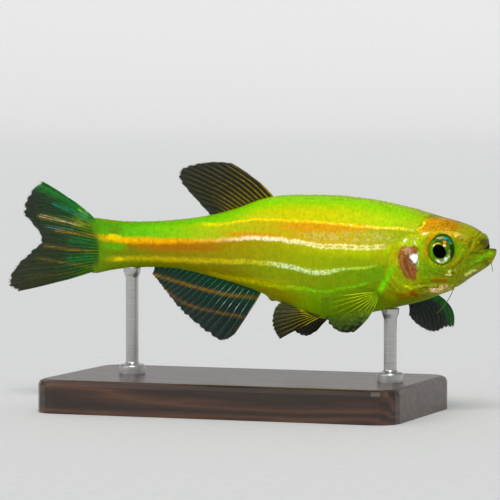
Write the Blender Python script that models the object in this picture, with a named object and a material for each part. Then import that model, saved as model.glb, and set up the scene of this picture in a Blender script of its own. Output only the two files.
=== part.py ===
# Zebra danio, a fluorescent green one, as a life-size museum model on a small stand.
# The fish faces +X and its right side faces -Y. Sizes below are millimetres.
# Heights named LEVEL or listed in outlines are measured from the fish's own long axis.

import math

import bmesh
import bpy
import numpy as np
from mathutils import Vector

MM = 0.001
GAP = 0.3                 # what neighbouring pieces keep between them
CUT_SHIFT = 0.2           # how far each side of the slanted gill opening lies from its line

# Driving sizes of the stand
BASE_LENGTH = 34.0
BASE_DEPTH = 18.0
BASE_HEIGHT = 3.0
BASE_CORNER = 2.0
BASE_BEVEL = 0.5
ROD_RADIUS = 0.6
COLLAR_RADIUS = 1.2
COLLAR_HEIGHT = 0.9
COLLAR_BEVEL = 0.2
PAD_RADIUS = 0.75
PAD_HEIGHT = 0.5
REAR_ROD_X = -11.7
FRONT_ROD_X = 13.1
ROD_SIDES = 16

# Driving sizes of the fish
AXIS_HEIGHT = 14.5        # the fish's long axis above the table
FISH_ALONG = 0.774        # sets the fish's middle over the middle of the base
RING_SIDES = 28           # points round each body section
SWAY = 1.0                # how far the tail's tip is swung to the left side
SWAY_START = -4.0
SWAY_LENGTH = 20.0
TRUNK_END = -9.9          # cut between trunk and tail stem
STEM_END = -15.1
SNOUT_TIP = 22.1
JAW_TIP = 22.86
JAW_HINGE = 18.8
TRUNK_FLAT_FROM = 12.6    # behind this the trunk's sections stand square to the axis
TRUNK_NEXT_RING = 11.4
HEAD_FLAT_FROM = 17.6     # in front of this the head's sections do
HEAD_RINGS = [18.4, 19.2, 20.0, 20.6, 21.1, 21.5, 21.78, 21.93, 22.03]
JAW_RINGS = [18.4, 19.0, 19.6, 20.2, 20.8, 21.3, 21.7, 22.1, 22.4, 22.62, 22.78]

# Outlines of the body seen from the side: place along the axis, level
TOP_OUTLINE = [(-15.2, 2.66), (-13.0, 2.42), (-10.0, 2.42), (-7.0, 2.65), (-5.0, 2.91), (-3.0, 3.3),
               (-1.5, 3.72), (0.0, 4.26), (1.3, 4.7), (2.6, 4.92), (6.0, 5.05), (8.4, 5.02),
               (10.3, 4.85), (12.1, 4.62), (14.0, 4.25), (16.0, 3.78), (17.7, 3.3), (19.5, 2.84),
               (20.5, 2.5), (21.3, 2.08), (21.72, 1.85), (21.95, 1.6), (22.1, 1.2)]
BOTTOM_OUTLINE = [(-15.2, -2.4), (-13.0, -1.94), (-11.4, -1.78), (-9.4, -1.7), (-7.4, -1.76),
                  (-5.5, -2.05), (-3.5, -2.5), (-1.6, -2.97), (0.0, -3.42), (1.8, -4.15),
                  (3.7, -5.0), (5.1, -5.57), (6.5, -5.93), (7.6, -6.02), (9.3, -5.78),
                  (10.7, -5.5), (12.1, -5.18), (14.0, -4.77), (15.4, -4.43), (16.8, -4.0),
                  (17.7, -3.62), (18.8, -3.2), (19.55, -2.74), (20.5, -2.06), (21.4, -1.5), (22.3, -0.87)]
WIDEST_LEVEL = [(-15.2, 0.15), (-10.0, 0.35), (-5.0, 0.45), (0.0, 0.4), (5.0, 0.1), (9.0, -0.2),
                (13.0, -0.3), (16.0, -0.1), (18.6, 0.2), (20.5, 0.2), (22.1, 0.6)]
HALF_WIDTH = [(-15.2, 0.5), (-13.0, 0.68), (-11.0, 0.85), (-8.0, 1.12), (-5.0, 1.45), (-2.0, 1.88),
              (1.0, 2.32), (4.0, 2.76), (7.0, 3.05), (9.5, 3.12), (12.0, 3.02), (14.0, 2.86),
              (16.0, 2.68), (18.6, 2.36), (19.8, 2.08), (20.8, 1.72), (21.4, 1.38), (21.75, 1.08),
              (21.96, 0.8), (22.1, 0.45)]
BACK_FULLNESS = [(-15.2, 0.9), (5.0, 1.0), (12.0, 0.95), (17.0, 0.75), (22.2, 0.7)]
BELLY_FULLNESS = 0.85

# The gill opening parts the head from the trunk: level, place along the axis
GILL_OPENING = [(-6.5, 17.6), (-5.2, 16.95), (-4.26, 16.05), (-3.49, 15.04), (-2.45, 14.21), (-1.22, 13.83),
                (0.02, 13.92), (1.17, 14.43), (2.07, 15.21), (3.48, 15.67), (6.5, 15.9)]
GILL_COVER_FRONT = [(-2.85, 16.6), (-2.0, 16.75), (-0.6, 16.35), (0.8, 16.2), (1.9, 16.35)]
GILL_COVER_LOW = -2.8
GILL_COVER_HIGH = 1.85
GILL_COVER_RAISE = 0.16
GILL_COVER_SUNK = 0.42
GILL_SEAT_REAR = 0.8       # how far the seat's cutter runs out past the gill opening
BLEND_SHARES = [0.0, 0.35, 0.7, 1.0]   # sections from the slanted opening to the flat ones

# The line of the mouth, from the jaw's hinge to past the lips: place along the axis, level
MOUTH_LINE = [(18.0, -2.6), (18.8, -1.87), (20.1, -0.7), (21.1, 0.1), (21.8, 0.42), (22.2, 0.54),
              (22.6, 0.68), (23.5, 0.7)]
JAW_TOP = [(18.0, 0.2), (21.6, 0.6), (22.1, 0.5), (22.45, 0.5), (22.7, 0.49), (22.86, 0.42)]
JAW_BOTTOM = [(18.0, -3.5), (18.8, -3.2), (19.55, -2.74), (20.5, -2.06), (21.4, -1.5), (22.1, -1.02),
              (22.48, -0.65), (22.7, -0.27), (22.86, 0.15)]
JAW_FULLNESS = 0.7
JAW_HALF_WIDTH = [(18.0, 2.45), (18.8, 2.3), (19.8, 2.04), (20.8, 1.66), (21.4, 1.34), (22.0, 0.96),
                  (22.45, 0.62), (22.7, 0.38), (22.86, 0.14)]
LIP_RADIUS = 0.2
LIP_END_SHARE = 0.55      # each end of a lip is this much thinner
LIP_SET = 0.05            # how far each lip stands back from the line of the mouth
UPPER_LIP = [(20.95, 1.5), (21.4, 1.26), (21.74, 0.98), (21.92, 0.64), (21.98, 0.0)]
LOWER_LIP = [(20.95, 1.5), (21.4, 1.24), (21.9, 0.96), (22.3, 0.66), (22.55, 0.36), (22.66, 0.0)]

# Eye, nostril and barbels
EYE_X = 18.6
EYE_LEVEL = 0.43
EYE_OUT = 1.86            # the eyeball's middle from the fish's middle plane
EYE_SIZE = (1.3, 0.95, 1.4)
EYE_RIM = 0.17
NOSTRIL = [(20.9, 1.62, 0.2), (20.5, 1.72, 0.24)]
BARBEL_RADIUS = 0.25
BARBEL_TIP_RADIUS = 0.13
RIGHT_MAXILLARY_BARBEL = [(20.85, 2.28, -0.1), (20.55, 2.75, -0.7), (20.4, 2.95, -1.4), (20.1, 2.85, -2.2),
                          (19.75, 2.65, -2.85), (19.3, 2.35, -3.65), (18.7, 2.15, -4.45), (18.0, 1.95, -5.1)]
LEFT_MAXILLARY_BARBEL = [(20.85, 2.28, -0.1), (20.3, 2.65, -0.6), (19.6, 2.9, -1.2), (18.8, 3.05, -1.9),
                         (17.9, 3.1, -2.7)]
LEFT_ROSTRAL_BARBEL = [(21.75, 1.82, 0.62), (21.8, 2.1, 0.1), (21.85, 2.0, -0.75), (22.05, 1.85, -1.65)]
RIGHT_ROSTRAL_BARBEL = [(21.75, 1.82, 0.62), (21.5, 1.95, 0.5), (21.2, 2.1, 0.5), (20.9, 2.3, 0.55)]

# Fleshy roots and the vent
PECTORAL_LOBE = (13.15, -3.25)
PECTORAL_LOBE_SIZE = (0.6, 0.8, 0.62)
VENT = (2.0, -4.3)
VENT_SIZE = (0.62, 0.45, 0.5)

# Fins: membrane and ray thickness
MEMBRANE_HALF = 0.25
RAY_HALF = 0.38
MEMBRANE_TIP_HALF = 0.13
RAY_TIP_HALF = 0.2
MEMBRANE_REACH = 0.95     # the membrane between two rays ends a little short of their tips
TAPER_START = 0.6         # share of a ray's length where it starts to thin

DORSAL_BASE = [(2.0, 4.82), (-3.5, 3.2)]
DORSAL_TIPS = [(-2.0, 7.85), (-3.3, 7.95), (-4.6, 7.85), (-5.8, 7.65), (-6.8, 7.35), (-7.1, 6.6),
               (-6.5, 5.65), (-5.6, 4.8), (-4.7, 4.0)]
ANAL_BASE = [(1.05, -3.9), (-9.45, -1.75)]
ANAL_TIPS = [(-1.7, -7.7), (-2.6, -8.28), (-3.4, -8.15), (-4.4, -7.55), (-5.3, -6.9), (-6.2, -6.2),
             (-7.1, -5.4), (-7.9, -4.5), (-8.6, -3.65), (-9.2, -2.9), (-9.7, -2.35)]
CAUDAL_BASE = [(-15.4, 2.35), (-15.4, -2.1)]
CAUDAL_TIPS = [(-20.9, 5.98), (-22.2, 4.85), (-22.85, 3.1), (-22.0, 2.1), (-21.0, 0.55), (-22.3, -0.75),
               (-23.8, -2.1), (-24.45, -3.6), (-23.4, -4.3)]

# Paired fins, right side given as distance out from the middle plane
RIGHT_PECTORAL_ROOT = [(12.25, 3.28, -3.25), (12.25, 3.1, -3.75)]
RIGHT_PECTORAL_TIPS = [(7.8, 3.75, -3.95), (7.75, 3.8, -4.9), (8.2, 3.75, -5.9), (9.0, 3.6, -6.75),
                       (9.9, 3.4, -6.95), (10.8, 3.2, -6.3)]
LEFT_PECTORAL_ROOT = [(13.75, 3.75, -3.2), (13.1, 3.75, -3.65)]
LEFT_PECTORAL_TIPS = [(17.4, 5.2, -6.9), (16.6, 5.3, -6.95), (15.8, 5.3, -7.35), (15.0, 5.2, -7.3),
                      (14.0, 5.0, -6.7), (13.3, 4.9, -5.9)]
PELVIC_ROOT = [(6.9, 1.6, -5.98), (6.1, 1.7, -5.75)]
RIGHT_PELVIC_TIPS = [(3.5, 2.5, -7.8), (3.0, 2.5, -7.1), (2.9, 2.5, -6.4), (3.0, 2.4, -5.75),
                     (3.5, 2.2, -5.3)]
LEFT_PELVIC_TIPS = [(5.3, 2.6, -7.35), (4.3, 2.7, -7.85), (3.4, 2.6, -7.6), (2.8, 2.5, -7.0),
                    (3.3, 2.3, -6.2)]

# How far the middle of a fin's rays bows away from a straight line, from the first ray to the last
DORSAL_BOW = [(0.15, 0.0, 0.25), (0.15, 0.0, 0.25)]
ANAL_BOW = [(0.2, 0.0, 0.0), (0.2, 0.0, 0.0)]
CAUDAL_BOW = [(0.0, 0.0, 0.5), (0.0, 0.0, 0.15), (0.0, 0.0, 0.0), (0.0, 0.0, 0.0), (0.0, 0.0, 0.0)]
RIGHT_PECTORAL_BOW = [(0.0, -0.2, 0.0), (0.0, -0.2, 0.0)]
LEFT_PECTORAL_BOW = [(1.2, 1.0, 0.45), (0.6, 0.6, 0.2), (0.25, 0.4, 0.0)]
PELVIC_BOW = [(0.0, 0.0, 0.0), (0.0, 0.0, 0.0)]

RIGHT = -1
LEFT = 1

# Colours, roughness and metallic value of each finish
FINISHES = {
    "green_flesh": ((0.42, 0.6, 0.01), 0.35, 0.0),
    "olive_flesh": ((0.3, 0.36, 0.01), 0.35, 0.0),
    "gill_flesh": ((0.28, 0.12, 0.02), 0.3, 0.0),
    "eye_dark": ((0.03, 0.08, 0.01), 0.08, 0.0),
    "fin_green": ((0.05, 0.2, 0.08), 0.4, 0.0),
    "fin_olive": ((0.2, 0.2, 0.02), 0.4, 0.0),
    "dark_wood": ((0.06, 0.03, 0.015), 0.35, 0.0),
    "steel": ((0.6, 0.6, 0.6), 0.25, 1.0),
}


def smooth_curve(points):
    """A function that runs smoothly through (place, value) points; a value may be several numbers."""
    places = np.array([p[0] for p in points], float)
    values = np.array([p[1:] for p in points], float)
    slopes = np.gradient(values, places, axis=0)

    def value_at(place):
        place = min(max(place, places[0]), places[-1])
        i = min(max(int(np.searchsorted(places, place)) - 1, 0), len(places) - 2)
        step = places[i + 1] - places[i]
        t = (place - places[i]) / step
        start = (1 + 2 * t) * (1 - t) ** 2 * values[i] + t * (1 - t) ** 2 * step * slopes[i]
        end = t * t * (3 - 2 * t) * values[i + 1] - t * t * (1 - t) * step * slopes[i + 1]
        total = start + end
        return float(total[0]) if len(total) == 1 else total

    return value_at


def even_curve(points):
    """Returns a smooth function of 0 to 1 through points set at even steps."""
    steps = np.linspace(0.0, 1.0, len(points))
    return smooth_curve([(s, *p) for s, p in zip(steps, points)])


top_at = smooth_curve(TOP_OUTLINE)
bottom_at = smooth_curve(BOTTOM_OUTLINE)
widest_at = smooth_curve(WIDEST_LEVEL)
half_width_at = smooth_curve(HALF_WIDTH)
back_fullness_at = smooth_curve(BACK_FULLNESS)
gill_opening_at = smooth_curve(GILL_OPENING)
gill_front_at = smooth_curve(GILL_COVER_FRONT)
mouth_at = smooth_curve(MOUTH_LINE)
jaw_top_at = smooth_curve(JAW_TOP)
jaw_bottom_at = smooth_curve(JAW_BOTTOM)
jaw_half_width_at = smooth_curve(JAW_HALF_WIDTH)


def sway_at(x):
    """Sideways swing of the tail at a place along the axis."""
    reach = max(0.0, (SWAY_START - x) / SWAY_LENGTH)
    return SWAY * reach * reach


def placed(x, y, level):
    """A point of the fish, in metres, in the model's frame."""
    return Vector(((x + FISH_ALONG) * MM, (y + sway_at(x)) * MM, (level + AXIS_HEIGHT) * MM))


def section_point(angle, high, low, wide_level, half_width, fullness):
    """A point on one side of a body section: angle runs from 90 degrees at the back to -90 at the belly."""
    up = math.sin(angle)
    side = max(math.cos(angle), 0.0)
    if up >= 0.0:
        return half_width * side ** fullness, wide_level + (high - wide_level) * up
    return half_width * side ** BELLY_FULLNESS, wide_level + (wide_level - low) * up


def body_point(x, angle):
    fullness = back_fullness_at(x)
    return section_point(angle, top_at(x), bottom_at(x), widest_at(x), half_width_at(x), fullness)


def jaw_point(x, angle):
    middle = 0.5 * (jaw_top_at(x) + jaw_bottom_at(x))
    return section_point(angle, jaw_top_at(x), jaw_bottom_at(x), middle, jaw_half_width_at(x), JAW_FULLNESS)


def skin_out(x, level):
    """How far the skin is from the middle plane at a place and level."""
    middle = widest_at(x)
    reach = top_at(x) - middle if level >= middle else middle - bottom_at(x)
    up = min(max((level - middle) / reach, -1.0), 1.0)
    return body_point(x, math.asin(up))[0]


def ring_angles(count):
    """Angles and sides of a closed ring: down the right side from the back, and up the left side."""
    half = count // 2
    ring = []
    for i in range(count):
        step = i if i <= half else count - i
        side = RIGHT if i <= half else LEFT
        ring.append((math.radians(90.0 - 180.0 * step / half), side))
    return ring


def new_object(name, mesh, finish=None):
    thing = bpy.data.objects.new(name, mesh)
    bpy.context.scene.collection.objects.link(thing)
    if finish:
        mesh.materials.clear()
        mesh.materials.append(material(finish))
    return thing


def material(finish):
    """The finish as a Principled material, made once."""
    made = bpy.data.materials.get(finish)
    if made:
        return made
    colour, roughness, metallic = FINISHES[finish]
    made = bpy.data.materials.new(finish)
    made.use_nodes = True
    shader = made.node_tree.nodes["Principled BSDF"]
    shader.inputs["Base Color"].default_value = (*colour, 1.0)
    shader.inputs["Roughness"].default_value = roughness
    shader.inputs["Metallic"].default_value = metallic
    return made


def mesh_from(name, points, faces):
    """A mesh from points and faces, with its faces turned outwards."""
    shape = bmesh.new()
    corners = [shape.verts.new(p) for p in points]
    for face in faces:
        shape.faces.new([corners[i] for i in face])
    bmesh.ops.recalc_face_normals(shape, faces=shape.faces)
    mesh = bpy.data.meshes.new(name)
    shape.to_mesh(mesh)
    shape.free()
    return mesh


def loft(name, rings):
    """A closed skin over rings of points that mirror left to right; the ends are closed by level strips."""
    count = len(rings[0])
    points = [p for ring in rings for p in ring]
    faces = []
    for row in range(len(rings) - 1):
        for i in range(count):
            j = (i + 1) % count
            faces.append((row * count + i, row * count + j, (row + 1) * count + j, (row + 1) * count + i))
    for first in (0, (len(rings) - 1) * count):
        faces.append((first, first + 1, first + count - 1))
        for i in range(1, count // 2 - 1):
            faces.append((first + i, first + i + 1, first + count - i - 1, first + count - i))
        low = first + count // 2
        faces.append((low - 1, low, low + 1))
    return new_object(name, mesh_from(name, points, faces))


def ring_at(x, point_function):
    ring = []
    for angle, side in ring_angles(RING_SIDES):
        out, level = point_function(x, angle)
        ring.append(placed(x, side * out, level))
    return ring


def ring_on_opening(shift, share, far_x):
    """A ring between the gill opening, moved by shift, and the flat section at far_x."""
    ring = []
    for angle, side in ring_angles(RING_SIDES):
        x = gill_opening_at(0.0) + shift
        for _ in range(12):
            x = 0.5 * (x + gill_opening_at(body_point(x, angle)[1]) + shift)
        x = x + (far_x - x) * share
        out, level = body_point(x, angle)
        ring.append(placed(x, side * out, level))
    return ring


def ellipsoid(name, centre, size, segments=16, rings=10):
    mesh = bpy.data.meshes.new(name)
    shape = bmesh.new()
    bmesh.ops.create_uvsphere(shape, u_segments=segments, v_segments=rings, radius=1.0)
    for corner in shape.verts:
        corner.co = corner.co * Vector(size) * MM + centre
    shape.to_mesh(mesh)
    shape.free()
    return new_object(name, mesh)


def tube(name, path, radii, sides=6):
    """A round rod along a path of points in metres, with a radius in millimetres at each point."""
    points = []
    faces = []
    count = len(path)
    side_axis = None
    for i, centre in enumerate(path):
        ahead = (path[min(i + 1, count - 1)] - path[max(i - 1, 0)]).normalized()
        if side_axis is None:
            side_axis = ahead.orthogonal().normalized()
        side_axis = (side_axis - ahead * side_axis.dot(ahead)).normalized()
        up_axis = ahead.cross(side_axis)
        for k in range(sides):
            turn = 2.0 * math.pi * k / sides
            points.append(centre + (side_axis * math.cos(turn) + up_axis * math.sin(turn)) * radii[i] * MM)
    for i in range(count - 1):
        for k in range(sides):
            j = (k + 1) % sides
            faces.append((i * sides + k, i * sides + j, (i + 1) * sides + j, (i + 1) * sides + k))
    faces.append(tuple(range(sides)))
    faces.append(tuple((count - 1) * sides + k for k in range(sides)))
    return new_object(name, mesh_from(name, points, faces))


def rim(name, centre, size, radius, segments=20, sides=6):
    """A ring lying round the Y axis, stretched to the eye's outline."""
    points = []
    faces = []
    for i in range(segments):
        turn = 2.0 * math.pi * i / segments
        for k in range(sides):
            roll = 2.0 * math.pi * k / sides
            reach_x = size[0] + radius * math.cos(roll)
            reach_z = size[2] + radius * math.cos(roll)
            offset = Vector((math.cos(turn) * reach_x, math.sin(roll) * radius, math.sin(turn) * reach_z))
            points.append(centre + offset * MM)
    for i in range(segments):
        for k in range(sides):
            a = (i + 1) % segments
            b = (k + 1) % sides
            faces.append((i * sides + k, a * sides + k, a * sides + b, i * sides + b))
    return new_object(name, mesh_from(name, points, faces))


def prism(name, outline, depth):
    """A block whose side view is the outline, reaching depth to both sides."""
    points = [placed(x, side * depth, level) for side in (RIGHT, LEFT) for x, level in outline]
    count = len(outline)
    faces = [tuple(range(count)), tuple(range(count, 2 * count))]
    for i in range(count):
        j = (i + 1) % count
        faces.append((i, j, count + j, count + i))
    return new_object(name, mesh_from(name, points, faces))


def combine(target, pieces, operation):
    """Applies one exact Boolean of all the pieces to the target and removes them."""
    group = bpy.data.collections.new("pieces")
    bpy.context.scene.collection.children.link(group)
    for piece in pieces:
        bpy.context.scene.collection.objects.unlink(piece)
        group.objects.link(piece)
    joint = target.modifiers.new("combine", "BOOLEAN")
    joint.operation = operation
    joint.solver = "EXACT"
    if len(pieces) == 1:
        joint.object = pieces[0]
    else:
        joint.operand_type = "COLLECTION"
        joint.collection = group
    bpy.context.view_layer.update()
    ready = target.evaluated_get(bpy.context.evaluated_depsgraph_get())
    result = bpy.data.meshes.new_from_object(ready)
    target.modifiers.remove(joint)
    target.data = result
    for piece in pieces:
        bpy.data.objects.remove(piece)
    bpy.data.collections.remove(group)
    keep_largest(target)


def keep_largest(target):
    """Keeps only the largest closed surface of a mesh, and welds points that a cut left together."""
    shape = bmesh.new()
    shape.from_mesh(target.data)
    bmesh.ops.remove_doubles(shape, verts=shape.verts, dist=0.000002)
    shape.faces.ensure_lookup_table()
    unseen = set(shape.faces)
    islands = []
    while unseen:
        island = [unseen.pop()]
        for face in island:
            for edge in face.edges:
                for neighbour in edge.link_faces:
                    if neighbour in unseen:
                        unseen.remove(neighbour)
                        island.append(neighbour)
        islands.append(island)
    islands.sort(key=lambda faces: sum(face.calc_area() for face in faces))
    scraps = [face for island in islands[:-1] for face in island]
    bmesh.ops.delete(shape, geom=scraps, context="FACES")
    shape.to_mesh(target.data)
    shape.free()


def finish_as(target, finish):
    target.data.materials.clear()
    target.data.materials.append(material(finish))
    target.data.shade_smooth()
    target.data.set_sharp_from_angle(angle=math.radians(40.0))
    return target


def fin(name, root_at, tip_at, rays, rows, finish, bow):
    """A fan of rays: ridges run from the root to the tips, with thinner membrane between them."""
    columns = 2 * rays - 1
    bow_at = even_curve(bow)
    centres = []
    for k in range(columns):
        share = k / (columns - 1)
        root = Vector(root_at(share))
        tip = Vector(tip_at(share))
        reach = 1.0 if k % 2 == 0 else MEMBRANE_REACH
        line = []
        for row in range(rows + 1):
            t = reach * row / rows
            line.append(root.lerp(tip, t) + Vector(bow_at(share)) * 4.0 * t * (1.0 - t))
        centres.append(line)
    fronts, backs = [], []
    for k in range(columns):
        for row in range(rows + 1):
            across = centres[min(k + 1, columns - 1)][row] - centres[max(k - 1, 0)][row]
            along = centres[k][min(row + 1, rows)] - centres[k][max(row - 1, 0)]
            facing = across.cross(along).normalized()
            thick = (RAY_HALF, RAY_TIP_HALF) if k % 2 == 0 else (MEMBRANE_HALF, MEMBRANE_TIP_HALF)
            taper = max(0.0, (row / rows - TAPER_START) / (1.0 - TAPER_START))
            half = thick[0] + (thick[1] - thick[0]) * taper
            centre = centres[k][row]
            fronts.append(placed(*(centre + facing * half)))
            backs.append(placed(*(centre - facing * half)))
    size = len(fronts)
    line = rows + 1
    faces = []
    for k in range(columns - 1):
        for row in range(rows):
            a = k * line + row
            b = a + line
            faces += [(a, b, b + 1), (a, b + 1, a + 1)]
            faces += [(size + a, size + b + 1, size + b), (size + a, size + a + 1, size + b + 1)]
    edge = [k * line for k in range(columns)]
    edge += [(columns - 1) * line + row for row in range(1, rows + 1)]
    edge += [k * line + rows for k in range(columns - 2, -1, -1)]
    edge += [row for row in range(rows - 1, 0, -1)]
    for i, a in enumerate(edge):
        b = edge[(i + 1) % len(edge)]
        faces += [(a, b, size + b), (a, size + b, size + a)]
    return finish_as(new_object(name, mesh_from(name, fronts + backs, faces)), finish)


def flat_line(points):
    """Side view points as points of the middle plane."""
    return [(x, 0.0, level) for x, level in points]


def mirrored(points, side):
    return [(x, side * out, level) for x, out, level in points]


def root_on_back(base, outline_at, direction):
    """Root line of a fin that stands on the body's edge, a gap away from the skin."""
    first, last = base[0][0], base[1][0]

    def root_at(share):
        x = first + (last - first) * share
        return x, 0.0, outline_at(x) + direction * GAP

    return root_at


def make_trunk():
    rings = [ring_on_opening(-CUT_SHIFT, share, TRUNK_FLAT_FROM) for share in BLEND_SHARES]
    rings += [ring_at(x, body_point) for x in np.linspace(TRUNK_NEXT_RING, TRUNK_END + GAP / 2, 19)]
    trunk = loft("trunk", rings)
    pieces = []
    for side in (RIGHT, LEFT):
        x, level = PECTORAL_LOBE
        centre = placed(x, side * skin_out(x, level), level)
        pieces.append(ellipsoid("lobe", centre, PECTORAL_LOBE_SIZE, 12, 8))
    pieces.append(ellipsoid("vent", placed(VENT[0], 0.0, VENT[1]), VENT_SIZE, 12, 8))
    combine(trunk, pieces, "UNION")
    return finish_as(trunk, "green_flesh")


def make_tail_stem():
    rings = [ring_at(x, body_point) for x in np.linspace(TRUNK_END - GAP / 2, STEM_END, 7)]
    return finish_as(loft("tail_stem", rings), "green_flesh")


def mouth_block(name, lift, back):
    """The space of the lower jaw: under the line of the mouth, moved up by lift and back from the hinge."""
    front, low, half_depth = JAW_TIP + 0.5, -7.0, 4.0
    outline = [(x, mouth_at(x) + lift) for x in np.linspace(JAW_HINGE - back, front, 9)]
    outline += [(front, low), (JAW_HINGE - back, low)]
    return prism(name, outline, half_depth)


def lip(name, plan, rise):
    """A bead round the front of the mouth: plan holds place and half width, rise lifts it off the line."""
    path = [(x, RIGHT * out) for x, out in plan] + [(x, LEFT * out) for x, out in reversed(plan[:-1])]
    centres = [placed(x, y, mouth_at(x) + rise) for x, y in path]
    radii = [LIP_RADIUS * (LIP_END_SHARE if i in (0, len(path) - 1) else 1.0) for i in range(len(path))]
    return tube(name, centres, radii, 8)


def gill_plate(name, side, margin, raised, sunk, rear_run):
    """A curved plate over the gills, following the skin; margin widens it for cutting its own seat."""
    rows, columns = 9, 5
    outer, inner = [], []
    for row in range(rows + 1):
        share = row / rows
        level = GILL_COVER_LOW - margin + (GILL_COVER_HIGH - GILL_COVER_LOW + 2.0 * margin) * share
        rounding = 0.55 * (2.0 * share - 1.0) ** 6
        front = gill_front_at(level) + margin - rounding
        rear = gill_opening_at(level) + CUT_SHIFT - rear_run
        for column in range(columns + 1):
            x = rear + (front - rear) * column / columns
            skin = skin_out(x, level)
            outer.append(placed(x, side * (skin + raised), level))
            inner.append(placed(x, side * (skin - sunk), level))
    size, line = len(outer), columns + 1
    faces = []
    for row in range(rows):
        for column in range(columns):
            a = row * line + column
            faces += [(a, a + 1, a + line + 1), (a, a + line + 1, a + line)]
            b = size + a
            faces += [(b, b + line + 1, b + 1), (b, b + line, b + line + 1)]
    edge = list(range(line)) + [row * line + columns for row in range(1, rows + 1)]
    edge += [rows * line + column for column in range(columns - 1, -1, -1)]
    edge += [row * line for row in range(rows - 1, 0, -1)]
    for i, a in enumerate(edge):
        b = edge[(i + 1) % len(edge)]
        faces += [(a, b, size + b), (a, size + b, size + a)]
    return new_object(name, mesh_from(name, outer + inner, faces))


def make_head():
    rings = [ring_on_opening(CUT_SHIFT, share, HEAD_FLAT_FROM) for share in BLEND_SHARES]
    rings += [ring_at(x, body_point) for x in HEAD_RINGS + [SNOUT_TIP]]
    head = loft("head", rings)
    eye_centre = {side: placed(EYE_X, side * EYE_OUT, EYE_LEVEL) for side in (RIGHT, LEFT)}
    pieces = [lip("upper_lip", UPPER_LIP, GAP / 2 + LIP_RADIUS + LIP_SET)]
    for side in (RIGHT, LEFT):
        on_skin = placed(EYE_X, side * (skin_out(EYE_X, EYE_LEVEL) - 0.06), EYE_LEVEL)
        pieces.append(rim("eye_rim", on_skin, EYE_SIZE, EYE_RIM + 0.1))
    combine(head, pieces, "UNION")
    cutters = [mouth_block("mouth_space", GAP / 2, GAP)]
    socket = tuple(half + GAP for half in EYE_SIZE)
    for side in (RIGHT, LEFT):
        cutters.append(ellipsoid("socket", eye_centre[side], socket, 20, 12))
        cutters.append(gill_plate("gill_seat", side, GAP, 1.0, GILL_COVER_SUNK + GAP, GILL_SEAT_REAR))
        for x, level, radius in NOSTRIL:
            pit = placed(x, side * (skin_out(x, level) + 0.02), level)
            cutters.append(ellipsoid("nostril", pit, (radius, radius, radius), 10, 6))
    for cutter in cutters:
        combine(head, [cutter], "DIFFERENCE")
    finish_as(head, "olive_flesh")
    for side, word in ((RIGHT, "right"), (LEFT, "left")):
        eye = ellipsoid("eye_" + word, eye_centre[side], EYE_SIZE, 20, 12)
        finish_as(eye, "eye_dark")
        plate = gill_plate("gill_cover_" + word, side, 0.0, GILL_COVER_RAISE, GILL_COVER_SUNK, 0.0)
        finish_as(plate, "gill_flesh")


def make_lower_jaw():
    jaw = loft("lower_jaw", [ring_at(x, jaw_point) for x in JAW_RINGS + [JAW_TIP]])
    combine(jaw, [mouth_block("jaw_space", -GAP / 2, 0.0)], "INTERSECT")
    combine(jaw, [lip("lower_lip", LOWER_LIP, -GAP / 2 - LIP_RADIUS - LIP_SET)], "UNION")
    return finish_as(jaw, "olive_flesh")


def barbel(name, side, points):
    """A tapering feeler that starts a gap away from the skin and hangs clear of it."""
    path_at = even_curve(mirrored(points, side))
    steps = np.linspace(0.0, 1.0, 9)
    path = [placed(*path_at(step)) for step in steps]
    radii = [BARBEL_RADIUS + (BARBEL_TIP_RADIUS - BARBEL_RADIUS) * step for step in steps]
    return finish_as(tube(name, path, radii), "olive_flesh")


def make_fins():
    dorsal_root = root_on_back(DORSAL_BASE, top_at, 1)
    dorsal_tips = even_curve(flat_line(DORSAL_TIPS))
    fin("dorsal_fin", dorsal_root, dorsal_tips, 9, 4, "fin_olive", DORSAL_BOW)
    anal_root = root_on_back(ANAL_BASE, bottom_at, -1)
    anal_tips = even_curve(flat_line(ANAL_TIPS))
    fin("anal_fin", anal_root, anal_tips, 15, 4, "fin_green", ANAL_BOW)
    caudal_root = even_curve(flat_line(CAUDAL_BASE))
    fin("caudal_fin", caudal_root, even_curve(flat_line(CAUDAL_TIPS)), 19, 5, "fin_green", CAUDAL_BOW)
    right_root = even_curve(mirrored(RIGHT_PECTORAL_ROOT, RIGHT))
    right_tips = even_curve(mirrored(RIGHT_PECTORAL_TIPS, RIGHT))
    fin("pectoral_fin_right", right_root, right_tips, 12, 5, "fin_olive", RIGHT_PECTORAL_BOW)
    left_root = even_curve(mirrored(LEFT_PECTORAL_ROOT, LEFT))
    left_tips = even_curve(mirrored(LEFT_PECTORAL_TIPS, LEFT))
    fin("pectoral_fin_left", left_root, left_tips, 12, 5, "fin_green", LEFT_PECTORAL_BOW)
    fin("pelvic_fin_right", even_curve(mirrored(PELVIC_ROOT, RIGHT)),
        even_curve(mirrored(RIGHT_PELVIC_TIPS, RIGHT)), 8, 4, "fin_olive", PELVIC_BOW)
    fin("pelvic_fin_left", even_curve(mirrored(PELVIC_ROOT, LEFT)),
        even_curve(mirrored(LEFT_PELVIC_TIPS, LEFT)), 8, 4, "fin_olive", PELVIC_BOW)


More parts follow.
